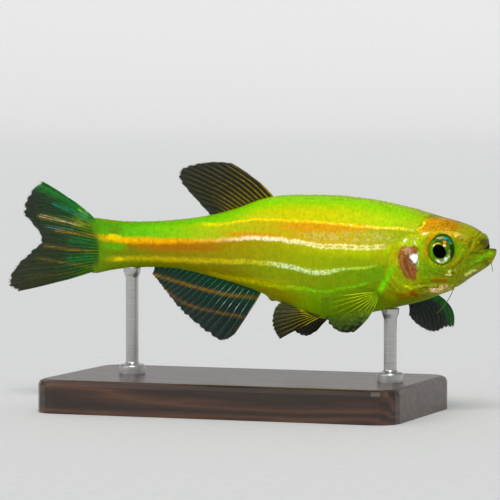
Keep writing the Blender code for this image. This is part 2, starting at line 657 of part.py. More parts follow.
def make_stand():
    """A flat base with rounded corners and two short rods that end a gap under the fish."""
    shape = bmesh.new()
    corners = []
    inner = (BASE_LENGTH / 2 - BASE_CORNER, BASE_DEPTH / 2 - BASE_CORNER)
    for quarter, (sx, sy) in enumerate(((1, 1), (-1, 1), (-1, -1), (1, -1))):
        for step in range(5):
            turn = math.radians(90.0 * quarter + 22.5 * step)
            x = sx * inner[0] + BASE_CORNER * math.cos(turn)
            y = sy * inner[1] + BASE_CORNER * math.sin(turn)
            corners.append(shape.verts.new((x * MM, y * MM, 0.0)))
    foot = shape.faces.new(corners)
    grown = bmesh.ops.extrude_face_region(shape, geom=[foot])
    lifted = [item for item in grown["geom"] if isinstance(item, bmesh.types.BMVert)]
    bmesh.ops.translate(shape, verts=lifted, vec=(0.0, 0.0, BASE_HEIGHT * MM))
    upper = [edge for edge in shape.edges if all(v.co.z > 0.5 * BASE_HEIGHT * MM for v in edge.verts)]
    bmesh.ops.bevel(shape, geom=upper, offset=BASE_BEVEL * MM, segments=2, affect="EDGES", profile=0.5)
    bmesh.ops.recalc_face_normals(shape, faces=shape.faces)
    mesh = bpy.data.meshes.new("stand_base")
    shape.to_mesh(mesh)
    shape.free()
    finish_as(new_object("stand_base", mesh), "dark_wood")
    for word, x in (("rear", REAR_ROD_X), ("front", FRONT_ROD_X)):
        under = min(bottom_at(x - PAD_RADIUS), bottom_at(x), bottom_at(x + PAD_RADIUS))
        foot_level = BASE_HEIGHT + GAP - AXIS_HEIGHT
        collar_level = foot_level + COLLAR_HEIGHT
        pad_level = under - GAP - PAD_HEIGHT
        profile = [(foot_level, COLLAR_RADIUS), (collar_level - COLLAR_BEVEL, COLLAR_RADIUS),
                   (collar_level, COLLAR_RADIUS - COLLAR_BEVEL), (collar_level + 0.02, ROD_RADIUS),
                   (pad_level - 0.25, ROD_RADIUS), (pad_level + 0.1, PAD_RADIUS), (under - GAP, PAD_RADIUS)]
        path = [placed(x, 0.0, level) for level, _ in profile]
        radii = [radius for _, radius in profile]
        finish_as(tube("stand_rod_" + word, path, radii, ROD_SIDES), "steel")


def build():
    for thing in list(bpy.data.objects):
        bpy.data.objects.remove(thing)
    make_head()
    make_lower_jaw()
    make_trunk()
    make_tail_stem()
    make_fins()
    barbel("maxillary_barbel_right", RIGHT, RIGHT_MAXILLARY_BARBEL)
    barbel("maxillary_barbel_left", LEFT, LEFT_MAXILLARY_BARBEL)
    barbel("rostral_barbel_right", RIGHT, RIGHT_ROSTRAL_BARBEL)
    barbel("rostral_barbel_left", LEFT, LEFT_ROSTRAL_BARBEL)
    make_stand()


build()
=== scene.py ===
# %% [markdown]
# # A zebra danio in a glowing green coat, life size
#
# This lesson dresses the plain solids of a small fish with skin, scales, fins and eyes. The fish
# faces +X and shows its right side, which faces -Y. Blender works in metres; sizes here are in
# millimetres and become metres where a mesh is made.

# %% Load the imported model
import math

import bmesh
import bpy
import numpy as np
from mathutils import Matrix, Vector


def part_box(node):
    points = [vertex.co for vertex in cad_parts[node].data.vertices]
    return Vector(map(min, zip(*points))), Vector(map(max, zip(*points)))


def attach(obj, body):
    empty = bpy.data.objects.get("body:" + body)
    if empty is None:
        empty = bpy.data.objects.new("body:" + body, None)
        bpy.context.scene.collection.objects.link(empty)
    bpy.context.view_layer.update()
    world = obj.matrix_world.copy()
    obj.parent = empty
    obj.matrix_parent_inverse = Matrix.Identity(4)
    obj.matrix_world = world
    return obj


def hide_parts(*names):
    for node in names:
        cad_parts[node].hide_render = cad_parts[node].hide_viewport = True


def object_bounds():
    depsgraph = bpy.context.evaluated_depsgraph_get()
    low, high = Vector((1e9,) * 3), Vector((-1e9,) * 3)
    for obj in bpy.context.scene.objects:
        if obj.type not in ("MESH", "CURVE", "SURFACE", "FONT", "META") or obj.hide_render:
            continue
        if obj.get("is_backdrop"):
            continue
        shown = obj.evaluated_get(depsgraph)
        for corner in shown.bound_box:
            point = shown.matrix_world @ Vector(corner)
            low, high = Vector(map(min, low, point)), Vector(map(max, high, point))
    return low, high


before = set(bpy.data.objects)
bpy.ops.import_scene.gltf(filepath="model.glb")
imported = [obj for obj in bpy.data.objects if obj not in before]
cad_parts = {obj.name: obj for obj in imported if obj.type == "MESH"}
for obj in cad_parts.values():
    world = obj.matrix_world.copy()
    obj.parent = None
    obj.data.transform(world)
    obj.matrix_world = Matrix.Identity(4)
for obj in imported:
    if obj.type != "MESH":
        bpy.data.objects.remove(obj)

MM = 0.001
join = np.concatenate
cad_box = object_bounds()


def rounded(places):
    """Numbers in metres as short numbers in millimetres, for printing."""
    return [round(float(v) / MM, 2) for v in places]


print("solids reach from", rounded(cad_box[0]), "to", rounded(cad_box[1]))

# %% [markdown]
# ## Smooth curves
#
# An outline is a handful of points. A cubic curve between each two gives a smooth value at any
# place, and numpy reads it at thousands of places in one call.

# %% A smooth curve through points
def curve_through(points):
    """A function that runs smoothly through points, each a place and its values."""
    places = np.array([p[0] for p in points], float)
    values = np.array([p[1:] for p in points], float)
    slopes = np.gradient(values, places, axis=0)

    def value_at(place):
        place = np.clip(np.asarray(place, float), places[0], places[-1])
        i = np.clip(np.searchsorted(places, place) - 1, 0, len(places) - 2)
        step = (places[i + 1] - places[i])[..., None]
        t = (place[..., None] - places[i][..., None]) / step
        start = (1 + 2 * t) * (1 - t) ** 2 * values[i] + t * (1 - t) ** 2 * step * slopes[i]
        end = t * t * (3 - 2 * t) * values[i + 1] - t * t * (1 - t) * step * slopes[i + 1]
        total = start + end
        return total[..., 0] if values.shape[1] == 1 else total

    return value_at


def even_curve(points):
    """The same for 0 to 1, through points at even steps."""
    steps = np.linspace(0, 1, len(points))
    return curve_through([(s, *p) for s, p in zip(steps, points)])


def pairs(flat):
    return list(zip(flat[::2], flat[1::2]))


def smooth_curve(flat):
    """The curve through a list of place, value, place, value."""
    return curve_through(pairs(flat))


def fade(value, low, high):
    """0 below low, 1 above high and smooth between; low may be the larger one."""
    t = np.clip((value - low) / (high - low), 0, 1)
    return t * t * (3 - 2 * t)


def hump(distance, width):
    """1 where the distance is 0, fading to 0 on both sides."""
    return np.exp(-(distance / width) ** 2)


WAVES = 14


def uneven(x, level, size, seed):
    """A smooth noise of about -1 to 1 over the side view, its features size mm large."""
    draw = np.random.default_rng(seed)
    total = 0
    for _ in range(WAVES):
        way, phase = draw.uniform(0, 2 * math.pi, 2)
        step = 2 * math.pi / (size * draw.uniform(0.8, 2))
        total = total + np.sin((x * math.cos(way) + level * math.sin(way)) * step + phase)
    return total / math.sqrt(WAVES)


print("curves ready")

# %% [markdown]
# ## Driving sizes
#
# The solids were drawn from outlines: how high, low and wide the body is at each place along its
# long axis, and where gill opening and mouth run. The skin is drawn from the same outlines, so
# that it lies on the solids. A level is a height above the long axis.

# %% Outlines of the body
AXIS_HEIGHT = 14.5        # of the long axis over the floor
FISH_ALONG = 0.774        # how far the fish's own zero lies ahead of the model's
SWAY = 1                  # how far the tail swings to the left
SWAY_START = -4
SWAY_LENGTH = 20

TOP_OUTLINE = [-15.2, 2.66, -13, 2.42, -10, 2.42, -7, 2.65, -5, 2.91, -3, 3.3, -1.5, 3.72, 0, 4.26,
    1.3, 4.7, 2.6, 4.92, 6, 5.05, 8.4, 5.02, 10.3, 4.85, 12.1, 4.62, 14, 4.25, 16, 3.78, 17.7, 3.3,
    19.5, 2.84, 20.5, 2.5, 21.3, 2.08, 21.72, 1.85, 21.95, 1.6, 22.1, 1.2]
top_at = smooth_curve(TOP_OUTLINE)
bottom_at = smooth_curve([-15.2, -2.4, -13, -1.94, -11.4, -1.78, -9.4, -1.7, -7.4, -1.76, -5.5, -2.05,
    -3.5, -2.5, -1.6, -2.97, 0, -3.42, 1.8, -4.15, 3.7, -5, 5.1, -5.57, 6.5, -5.93, 7.6, -6.02, 9.3, -5.78,
    10.7, -5.5, 12.1, -5.18, 14, -4.77, 15.4, -4.43, 16.8, -4, 17.7, -3.62, 18.8, -3.2, 19.55, -2.74,
    20.5, -2.06, 21.4, -1.5, 22.3, -0.87])
widest_at = smooth_curve([-15.2, 0.15, -10, 0.35, -5, 0.45, 0, 0.4, 5, 0.1, 9, -0.2, 13, -0.3, 16, -0.1,
    18.6, 0.2, 20.5, 0.2, 22.1, 0.6])
half_width_at = smooth_curve([-15.2, 0.5, -13, 0.68, -11, 0.85, -8, 1.12, -5, 1.45, -2, 1.88, 1, 2.32,
    4, 2.76, 7, 3.05, 9.5, 3.12, 12, 3.02, 14, 2.86, 16, 2.68, 18.6, 2.36, 19.8, 2.08, 20.8, 1.72,
    21.4, 1.38, 21.75, 1.08, 21.96, 0.8, 22.1, 0.45])
fullness_at = smooth_curve([-15.2, 0.9, 5, 1, 12, 0.95, 17, 0.75, 22.2, 0.7])
BELLY_FULLNESS = 0.85

# %% Lines on the head
gill_opening_at = smooth_curve([-6.5, 17.6, -5.2, 16.95, -4.26, 16.05, -3.49, 15.04, -2.45, 14.21,
    -1.22, 13.83, 0.02, 13.92, 1.17, 14.43, 2.07, 15.21, 3.48, 15.67, 6.5, 15.9])
gill_front_at = smooth_curve([-2.85, 16.6, -2, 16.75, -0.6, 16.35, 0.8, 16.2, 1.9, 16.35])
mouth_at = smooth_curve([18, -2.6, 18.8, -1.87, 20.1, -0.7, 21.1, 0.1, 21.8, 0.42, 22.2, 0.54, 22.6, 0.68,
    23.5, 0.7])
jaw_top_at = smooth_curve([18, 0.2, 21.6, 0.6, 22.1, 0.5, 22.45, 0.5, 22.7, 0.49, 22.86, 0.42])
jaw_bottom_at = smooth_curve([18, -3.5, 18.8, -3.2, 19.55, -2.74, 20.5, -2.06, 21.4, -1.5, 22.1, -1.02,
    22.48, -0.65, 22.7, -0.27, 22.86, 0.15])
jaw_half_width_at = smooth_curve([18, 2.45, 18.8, 2.3, 19.8, 2.04, 20.8, 1.66, 21.4, 1.34, 22, 0.96,
    22.45, 0.62, 22.7, 0.38, 22.86, 0.14])
SNOUT_TIP = 22.1
JAW_TIP = 22.86
JAW_HINGE = 18.8
MOUTH_CORNER = 21.1
print("body depth at the belly", round(float(top_at(7) - bottom_at(7)), 2), "mm")

# %% Places of the fish in the model's frame
def sway_at(x):
    """Sideways swing of the tail at a place along the axis."""
    reach = np.maximum(0, (SWAY_START - x) / SWAY_LENGTH)
    return SWAY * reach * reach


def placed(x, y, level):
    """Points of the fish as points of the model's frame, all in millimetres."""
    x, y, level = np.broadcast_arrays(x, y, level)
    return np.stack((x + FISH_ALONG, y + sway_at(x), level + AXIS_HEIGHT), axis=-1)


# %% [markdown]
# ## Camera and light
#
# The photo was taken from the fish's right, a little from the front and from slightly above,
# through a long lens. One pixel of the 500 pixel frame covers 0.09 mm at the fish.

# %% Camera
PICTURE_WIDTH = 500
PIXEL_SIZE = 0.0902       # millimetres at the fish
LENS = 250
SENSOR = 36
CAMERA_TURN = 20          # degrees from square, towards the head
CAMERA_RISE = 3
AIM = Vector((-0.18 + FISH_ALONG, 0, AXIS_HEIGHT))

camera_distance = PIXEL_SIZE * PICTURE_WIDTH * LENS / SENSOR
turn, rise = math.radians(CAMERA_TURN), math.radians(CAMERA_RISE)
look_from = Vector((math.sin(turn) * math.cos(rise), -math.cos(turn) * math.cos(rise), math.sin(rise)))
camera_data = bpy.data.cameras.new("camera")
camera_data.lens = LENS
camera_data.sensor_width = SENSOR
camera_data.clip_start = 0.01
camera_data.clip_end = 10
camera = bpy.data.objects.new("camera", camera_data)
camera.location = (AIM + look_from * camera_distance) * MM
camera.rotation_euler = (-look_from).to_track_quat("-Z", "Y").to_euler()
scene = bpy.context.scene
scene.collection.objects.link(camera)
scene.camera = camera
print("camera", round(camera_distance, 1), "mm from the fish")

# %% Soft studio lights
def soft_sun(name, towards, strength, spread, colour):
    """A broad light towards a way from the fish; spread is its width in degrees."""
    data = bpy.data.lights.new(name, "SUN")
    data.energy = strength
    data.angle = math.radians(spread)
    data.color = colour
    lamp = bpy.data.objects.new(name, data)
    lamp.rotation_euler = (-Vector(towards)).to_track_quat("-Z", "Y").to_euler()
    scene.collection.objects.link(lamp)


soft_sun("key_light", (0.25, -0.75, 0.95), 1.6, 24, (1, 0.99, 0.96))
soft_sun("fill_light", (-0.8, -0.9, 0.35), 0.55, 50, (0.95, 0.98, 1))
soft_sun("back_light", (-0.3, 0.9, 0.8), 0.15, 40, (1, 1, 1))

world = bpy.data.worlds.new("studio")
world.use_nodes = True
sky = world.node_tree.nodes["Background"].inputs
sky["Color"].default_value = (0.95, 0.97, 1, 1)
sky["Strength"].default_value = 0.42
scene.world = world
scene.view_settings.view_transform = "Standard"


# %% [markdown]
# ## Meshes and finishes
#
# One helper makes objects from points in millimetres, another adds shader nodes, so that a finish
# reads as a few lines of arithmetic. Every finish reads Object coordinates, here the places of
# the model itself, so stripes run on from skin to scale.

# %% An object from points and faces
def new_object(name, points, faces, finish=None, edges=()):
    """An object at the origin with these points, in millimetres."""
    mesh = bpy.data.meshes.new(name)
    faces = [tuple(int(i) for i in face) for face in faces]
    mesh.from_pydata((np.asarray(points) * MM).tolist(), list(edges), faces)
    mesh.update()
    mesh.shade_smooth()
    thing = bpy.data.objects.new(name, mesh)
    scene.collection.objects.link(thing)
    if finish:
        mesh.materials.append(finish)
    return thing


def face_outwards(thing):
    """Drops loose points and turns the faces outwards; gives the number of open edges."""
    shape = bmesh.new()
    shape.from_mesh(thing.data)
    bmesh.ops.delete(shape, geom=[v for v in shape.verts if not v.link_faces], context="VERTS")
    bmesh.ops.recalc_face_normals(shape, faces=shape.faces)
    open_edges = sum(not edge.is_manifold for edge in shape.edges)
    shape.to_mesh(thing.data)
    shape.free()
    return open_edges


def read_points(mesh):
    flat = np.zeros(len(mesh.vertices) * 3)
    mesh.vertices.foreach_get("co", flat)
    return flat.reshape(-1, 3)


def corner_points(mesh):
    """For each corner of each face, the number of its point and of its face."""
    corners = np.zeros(len(mesh.loops), int)
    mesh.loops.foreach_get("vertex_index", corners)
    totals = np.array([face.loop_total for face in mesh.polygons])
    return corners, np.repeat(np.arange(len(totals)), totals)


MAP_NAME = "OFBake"


def write_map(mesh, across, up):
    unwrap = mesh.uv_layers.get("UVMap") or mesh.uv_layers.new(name=MAP_NAME)
    unwrap.name = MAP_NAME
    unwrap.data.foreach_set("uv", np.clip(np.stack((across, up), axis=1), 0, 1).ravel())


def store_numbers(mesh, name, values):
    mesh.attributes.new(name, "FLOAT", "POINT").data.foreach_set("value", np.asarray(values, float))


def read_numbers(mesh, name):
    values = np.zeros(len(mesh.vertices))
    mesh.attributes[name].data.foreach_get("value", values)
    return values


def tint(red, green, blue=0):
    """A screen colour, 0 to 255, as the linear colour of Blender's shaders."""
    shares = [value / 255 for value in (red, green, blue)]
    return (*[s / 12.92 if s <= 0.04045 else ((s + 0.055) / 1.055) ** 2.4 for s in shares], 1)


# %% A brush that adds shader nodes
class Brush:
    """Adds nodes to a tree; an input may be a number, a colour or another node's output."""

    def __init__(self, tree):
        self.tree = tree

    def add(self, kind, inputs, **settings):
        made = self.tree.nodes.new(kind)
        for name, value in settings.items():
            setattr(made, name, value)
        for key, value in inputs.items():
            self.feed(made.inputs[key], value)
        return made

    def make(self, kind, inputs, **settings):
        return self.add(kind, inputs, **settings).outputs[0]

    def feed(self, socket, value):
        if isinstance(value, bpy.types.NodeSocket):
            self.tree.links.new(value, socket)
        else:
            socket.default_value = value

    def sum(self, operation, first, second=0):
        return self.make("ShaderNodeMath", {0: first, 1: second}, operation=operation)

    def plus(self, first, second):
        return self.sum("ADD", first, second)

    def minus(self, first, second):
        return self.sum("SUBTRACT", first, second)

    def times(self, first, *others):
        for other in others:
            first = self.sum("MULTIPLY", first, other)
        return first

    def vector(self, place, numbers, operation="MULTIPLY"):
        return self.make("ShaderNodeVectorMath", {0: place, 1: numbers}, operation=operation)

    def stored(self, name):
        """What is stored on the mesh's points under a name."""
        return self.add("ShaderNodeAttribute", {}, attribute_name=name).outputs

    def between(self, value, low, high):
        """A noise spread out, so that it runs from low to high."""
        ends = {"Value": value, "From Min": 0.3, "From Max": 0.7, "To Min": low, "To Max": high}
        return self.make("ShaderNodeMapRange", ends)

    def fade(self, value, low, high):
        """A smooth 0 to 1 as value goes from low to high, which may run downwards."""
        ends = {"Value": value, "From Min": low, "From Max": high}
        return self.add("ShaderNodeMapRange", ends, interpolation_type="SMOOTHSTEP").outputs["Result"]

    def mix(self, share, under, over, blend="MIX"):
        made = self.add("ShaderNodeMix", {}, data_type="RGBA", blend_type=blend)
        for number, value in ((0, share), (6, under), (7, over)):
            self.feed(made.inputs[number], value)
        return made.outputs[2]

    def lay(self, under, colour, *shares):
        """Lays a screen colour over another one, by the product of the shares."""
        return self.mix(self.times(*shares), under, tint(*colour))

    def shaded(self, colour, brightness):
        grey = self.make("ShaderNodeCombineColor", {i: brightness for i in range(3)})
        return self.mix(1, colour, grey, blend="MULTIPLY")

    def noise(self, place, scale, detail=2, roughness=0.5):
        sizes = {"Vector": place, "Scale": scale, "Detail": detail, "Roughness": roughness}
        return self.add("ShaderNodeTexNoise", sizes).outputs["Fac"]

    def way(self, value, stops):
        """0 to 1 from the first stop to the last, and their places."""
        first, last = stops[0][0], stops[-1][0]
        ends = {"Value": value, "From Min": first, "From Max": last}
        return self.make("ShaderNodeMapRange", ends), first, last

    def graph(self, value, flat, low, high):
        """A smooth curve through place, value, ... drawn in one curve node, from low to high."""
        points = pairs(flat)
        place, first, last = self.way(value, points)
        made = self.add("ShaderNodeFloatCurve", {"Value": place})
        line = made.mapping.curves[0]
        spots = [((x - first) / (last - first), (y - low) / (high - low)) for x, y in points]
        for _ in spots[2:]:
            line.points.new(0.5, 0.5)
        for point, spot in zip(line.points, spots):
            point.location = spot
        made.mapping.update()
        return self.plus(self.times(made.outputs[0], high - low), low)

    def ramp(self, value, stops):
        """Colours along a range: stops are (place, colour)."""
        place, first, last = self.way(value, stops)
        made = self.add("ShaderNodeValToRGB", {"Fac": place})
        bar = made.color_ramp
        for x, colour in stops[1:-1]:
            bar.elements.new((x - first) / (last - first)).color = colour
        bar.elements[0].color = stops[0][1]
        bar.elements[-1].color = stops[-1][1]
        return made.outputs["Color"]

    def bumps(self, shader, height, strength, distance):
        sizes = {"Height": height, "Strength": strength, "Distance": distance}
        normal = self.add("ShaderNodeBump", sizes).outputs["Normal"]
        self.feed(shader.inputs["Normal"], normal)


def new_finish(name, specular=0.5, **sizes):
    """A Principled material with sizes set on its own sockets, its brush, shader and places."""
    made = bpy.data.materials.new(name)
    made.use_nodes = True
    shader = made.node_tree.nodes["Principled BSDF"]
    shader.inputs["Specular IOR Level"].default_value = specular
    for key, value in sizes.items():
        shader.inputs[key.replace("_", " ").title()].default_value = value
    brush = Brush(made.node_tree)
    return made, brush, shader, fish_places(brush)


def fish_places(brush):
    """Object coordinates in millimetres, the place along the axis and the level."""
    place = brush.add("ShaderNodeTexCoord", {}).outputs["Object"]
    in_mm = brush.make("ShaderNodeVectorMath", {0: place, "Scale": 1 / MM}, operation="SCALE")
    parts = brush.add("ShaderNodeSeparateXYZ", {0: in_mm}).outputs
    along = brush.minus(parts[0], FISH_ALONG)
    level = brush.minus(parts[2], AXIS_HEIGHT)
    return in_mm, along, level


print("helpers ready")

# %% [markdown]
# ## The skin
#
# The real skin is one sheet from the lips to the tail's root. A body like this is a row of
# sections, so it is drawn as a grid: stations along the axis, points round each station. One
# line of the grid follows the mouth, where the lips part.

# %% Sections of the body
RING = 220                # points round each station
HALF_RING = RING // 2
MOUTH_COLUMN = 62         # the grid line that follows the mouth, counted from the back
TAIL_END = -15.75         # the flesh thins to nothing here, between the roots of the tail's rays
FLESH_THINS_FROM = -13.9


def flesh_share(x):
    """0 where the flesh ends between the tail's rays, 1 from the tail stem on."""
    return np.sin(np.clip((x - TAIL_END) / (FLESH_THINS_FROM - TAIL_END), 0, 1) * math.pi / 2)


def body_section(x, angle):
    """How far out and how high the body is, at angles from 90 at the back to -90 at the belly."""
    up = np.sin(angle)
    side = np.maximum(np.cos(angle), 0)
    above = up >= 0
    out = half_width_at(x) * flesh_share(x) * side ** np.where(above, fullness_at(x), BELLY_FULLNESS)
    middle = widest_at(x)
    level = middle + np.where(above, top_at(x) - middle, middle - bottom_at(x)) * up
    return out, level


def ring_angles(x):
    """The angles of the grid lines from back to belly at each station."""
    line = np.arange(HALF_RING + 1)
    at_head = np.maximum(x, JAW_HINGE)
    up = (mouth_at(at_head) - widest_at(at_head)) / (widest_at(at_head) - bottom_at(at_head))
    plain = math.radians(90 - 180 * MOUTH_COLUMN / HALF_RING)
    share = fade(x, 12, JAW_HINGE)
    at_mouth = (plain * (1 - share) + np.arcsin(np.clip(up, -1, 1)) * share)[:, None]
    above = math.pi / 2 + (at_mouth - math.pi / 2) * np.minimum(line / MOUTH_COLUMN, 1)
    below = np.maximum((line - MOUTH_COLUMN) / (HALF_RING - MOUTH_COLUMN), 0)
    return above + (-math.pi / 2 - at_mouth) * below


stations = join((np.arange(TAIL_END, FLESH_THINS_FROM, 0.05), np.arange(FLESH_THINS_FROM, 13.2, 0.2),
                 np.arange(13.2, MOUTH_CORNER - 0.03, 0.06), [MOUTH_CORNER]))
body_out, body_level = body_section(stations[:, None], ring_angles(stations))
left = slice(HALF_RING - 1, 0, -1)
ring_out = join((-body_out, body_out[:, left]), axis=1)
body_rings = placed(stations[:, None], ring_out, join((body_level, body_level[:, left]), axis=1))
print(len(stations), "stations of", RING, "points")

# %% [markdown]
# In front of the mouth's corner the ring splits in two: the upper jaw keeps the lines over the
# back, the lower jaw those under the belly. Each is closed inside by a strip, the roof or the
# floor of the mouth, and ends in a small rounded cap.

# %% Upper and lower jaw
ROOF_POINTS = 15          # points across the roof and the floor of the mouth
LIP_GAP = 0.012           # half the slit between the lips
CAP_RINGS = 5
CAP_BULGE = 0.1           # how far the cap stands before the last loop


def opening(x):
    """0 at the corner of the mouth and 1 half a millimetre before it."""
    return fade(x, MOUTH_CORNER, MOUTH_CORNER + 0.5)[:, None]


def upper_side(x):
    out, level = body_section(x[:, None], ring_angles(x))
    lines = np.arange(MOUTH_COLUMN, -1, -1)
    return out[:, lines], level[:, lines] + LIP_GAP * opening(x) * (lines / MOUTH_COLUMN) ** 6


def lower_side(x):
    """One side of the lower jaw, from the mouth to the belly, which leaves the body's outline."""
    out, level = body_section(x[:, None], ring_angles(x))
    lines = np.arange(MOUTH_COLUMN, HALF_RING + 1)
    down = (lines - MOUTH_COLUMN) / (HALF_RING - MOUTH_COLUMN) * math.pi / 2
    past_snout = fade(x, 21.95, 22.2)
    rim = (mouth_at(x) * (1 - past_snout) + jaw_top_at(x) * past_snout)[:, None]
    jaw_out = jaw_half_width_at(x)[:, None] * np.maximum(np.cos(down), 0) ** 0.75
    jaw_level = rim + (jaw_bottom_at(x)[:, None] - rim) * np.sin(down)
    share = fade(x, MOUTH_CORNER, MOUTH_CORNER + 0.6)[:, None]
    out = out[:, lines] * (1 - share) + jaw_out * share
    level = level[:, lines] * (1 - share) + jaw_level * share
    return out, level - LIP_GAP * opening(x) * np.cos(down) ** 6


def jaw_loops(tip, count, side, arch, apex):
    """Closed loops from the mouth's corner to a cap at the tip.

    Each runs from the right lip round the outside to the left lip and back along the strip
    inside. The cap comes to its point at the share apex of the height."""
    x = MOUTH_CORNER + (tip - CAP_BULGE - MOUTH_CORNER) * np.sin(np.linspace(0, math.pi / 2, count)) ** 1.1
    out, level = side(x)
    across = np.linspace(1, -1, ROOF_POINTS + 2)[1:-1]
    dome = arch * opening(x) * (1 - across ** 2)
    y = join((-out, out[:, -2::-1], out[:, :1] * across), axis=1)
    height = join((level, level[:, -2::-1], level[:, :1] + dome), axis=1)
    loops = placed(x[:, None], y, height)
    last = loops[-1]
    middle = last.mean(axis=0)
    middle[2] = last[:, 2].min() + apex * np.ptp(last[:, 2])
    caps = []
    for turn in np.linspace(0, math.pi / 2, CAP_RINGS + 1)[1:]:
        forward = np.array((CAP_BULGE * math.sin(turn), 0, 0))
        caps.append(middle + (last - middle) * max(math.cos(turn), 0.02) + forward)
    return join((loops, np.array(caps)))


upper_jaw = jaw_loops(SNOUT_TIP, 28, upper_side, 0.3, 0.45)
lower_jaw = jaw_loops(JAW_TIP, 44, lower_side, -0.15, 0.8)
print("upper jaw", upper_jaw.shape[:2], "lower jaw", lower_jaw.shape[:2])

# %% [markdown]
# The three grids become one closed mesh: the jaws share their first loop with the body's last
# ring and with each other. The numbering also gives the unwrap: the place along the fish runs
# across the map and the way round the body runs up it.

# %% One closed mesh
MAP_TOP = 0.94            # the part of the map above this holds the inside of the mouth


def map_across(x):
    """Where a place along the axis lies on the skin's map."""
    return 0.01 + 0.98 * (x - TAIL_END) / (JAW_TIP + 0.4 - TAIL_END)


def grid_faces(index, closed):
    """Quads between the rows of an array of point numbers."""
    after = np.roll(index, -1, axis=1)
    columns = index.shape[1] if closed else index.shape[1] - 1
    quads = np.stack((index[:-1], after[:-1], after[1:], index[1:]), axis=-1)[:, :columns]
    return quads.reshape(-1, 4)


def numbered(points, first):
    """Numbers for the points of a grid, from first on."""
    return np.arange(first, first + len(points) * len(points[0])).reshape(points.shape[:2])


upper_columns = join((np.arange(MOUTH_COLUMN, -1, -1), np.arange(RING - 1, RING - MOUTH_COLUMN - 1, -1)))
lower_columns = np.arange(MOUTH_COLUMN, RING - MOUTH_COLUMN + 1)
body_index = numbered(body_rings, 0)
upper_index = numbered(upper_jaw, body_index.size)
lower_index = numbered(lower_jaw, upper_index.max() + 1)
roof_start = upper_index[0, len(upper_columns):]
upper_index[0, :len(upper_columns)] = body_index[-1, upper_columns]
lower_index[0] = join((body_index[-1, lower_columns], roof_start))

faces = [face for index in (body_index, upper_index, lower_index) for face in grid_faces(index, True)]
faces.append((0, 1, RING - 1))      # the end of the tail is sewn shut, from back to belly
for line in range(1, HALF_RING - 1):
    faces.append((line, line + 1, RING - line - 1, RING - line))
faces.append((HALF_RING - 1, HALF_RING, HALF_RING + 1))
faces += [upper_index[-1], lower_index[-1]]

skin_points = join([grid.reshape(-1, 3) for grid in (body_rings, upper_jaw, lower_jaw)])
skin = new_object("danio_skin", skin_points, faces)
strip = RING + np.arange(ROOF_POINTS)
columns = join((np.tile(np.arange(RING), len(body_rings)),
                np.tile(join((upper_columns, strip)), len(upper_jaw)),
                np.tile(join((lower_columns, strip)), len(lower_jaw))))
store_numbers(skin.data, "column", columns)
open_edges = face_outwards(skin)
print("skin", len(skin.data.polygons), "faces,", open_edges, "open edges")

# %% [markdown]
# ## Fine forms of the head
#
# Folds, ridges and pits give a fish's head its character. Each is a line or a spot with a width
# and a height. Together they push the skin along its own normal, which keeps the mesh closed.

# %% Folds and ridges: width, height, points as place, level, place, level
FOLDS = {
    "jaw and lips": [(0.08, -0.1, [21.1, 0.1, 20.6, -0.28, 20.1, -0.7, 19.4, -1.35, 18.95, -1.8]),
     (0.14, 0.05, [20.95, 0.3, 21.3, 0.47, 21.8, 0.66, 22.2, 0.76]), (0.24, 0.1, [20.9, -0.5, 21.3, -0.28,
     21.8, 0, 22.3, 0.2]), (0.1, -0.05, [21.1, -1, 21.5, -0.88, 21.9, -0.62, 22.4, -0.28]), (0.15, 0.1,
     [20.3, -1.85, 20.75, -1.55, 21.2, -1.3, 21.7, -1])],
    "below the eye": [(0.12, 0.06, [20.35, 0.35, 20.1, -0.2, 19.78, -0.62, 19.34, -1]), (0.08, -0.07,
     [20.36, -0.05, 20.24, -0.6, 20.2, -1.05]), (0.09, -0.1, [20.2, -1.1, 20, -1.5, 19.75, -2, 19.4, -2.6,
     18.95, -3.1])],
    "snout": [(0.11, -0.1, [21.55, 2.1, 21.5, 1.74, 21.22, 1.6, 21.05, 1.4, 20.98, 1.1, 21, 0.7]),
     (0.4, 0.05, [21.6, 1.4, 21.6, 0.9])],
    "cheek": [(0.09, -0.04, [16.6, 0.45, 16.85, -0.5, 17.3, -1.35, 18.2, -1.95, 19.5, -1.9]), (0.2, 0.035,
     [16.85, 0.4, 17.1, -0.4, 17.6, -1.1, 18.4, -1.6, 19.3, -1.6])],
    "throat": [(0.09, -0.11, [16, -2.75, 17, -2.55, 18, -2.52, 19.3, -2.45]), (0.13, 0.1, [15.8, -3,
     17, -2.8, 18, -2.78, 19.2, -2.7]), (0.09, -0.11, [15.6, -3.3, 17, -3.08, 18, -3.05, 19, -2.95]),
     (0.12, 0.06, [15.4, -3.6, 16.8, -3.4, 18, -3.3])],
    "shoulder": [(0.16, 0.09, [13.45, -1.5, 13.7, -2.3, 14.3, -3, 15.3, -3.75])],
}
NOSTRILS = [(20.59, 1.2, 0.08), (20.3, 1.3, 0.1)]      # place, level, radius
NOSTRIL_DEPTH = 0.07
NOSTRIL_RIM = 0.05
EYE_X = 18.54
EYE_LEVEL = 0.43
SOCKET = (1.15, 1.27)     # half length and half height of the opening round the eye
SOCKET_DEPTH = 0.6
EYE_RIMS = [(0.04, 1.06, 0.05), (0.03, 1.3, 0.14)]      # height, where (1 on the opening), width
GILL_RAISE = 0.08         # how far the gill cover's edge stands over the body
GILL_CREVICE = 0.05       # and how deep the groove behind it is
PLATE_STEP = 0.06         # the step at the cover's front plate
LOBE = (13, -3.2)         # the fleshy root of the pectoral fin
LOBE_REACH = (1.1, 0.7)
LOBE_HEIGHT = 0.26
VENT_X = 2
VENT_HEIGHT = 0.35


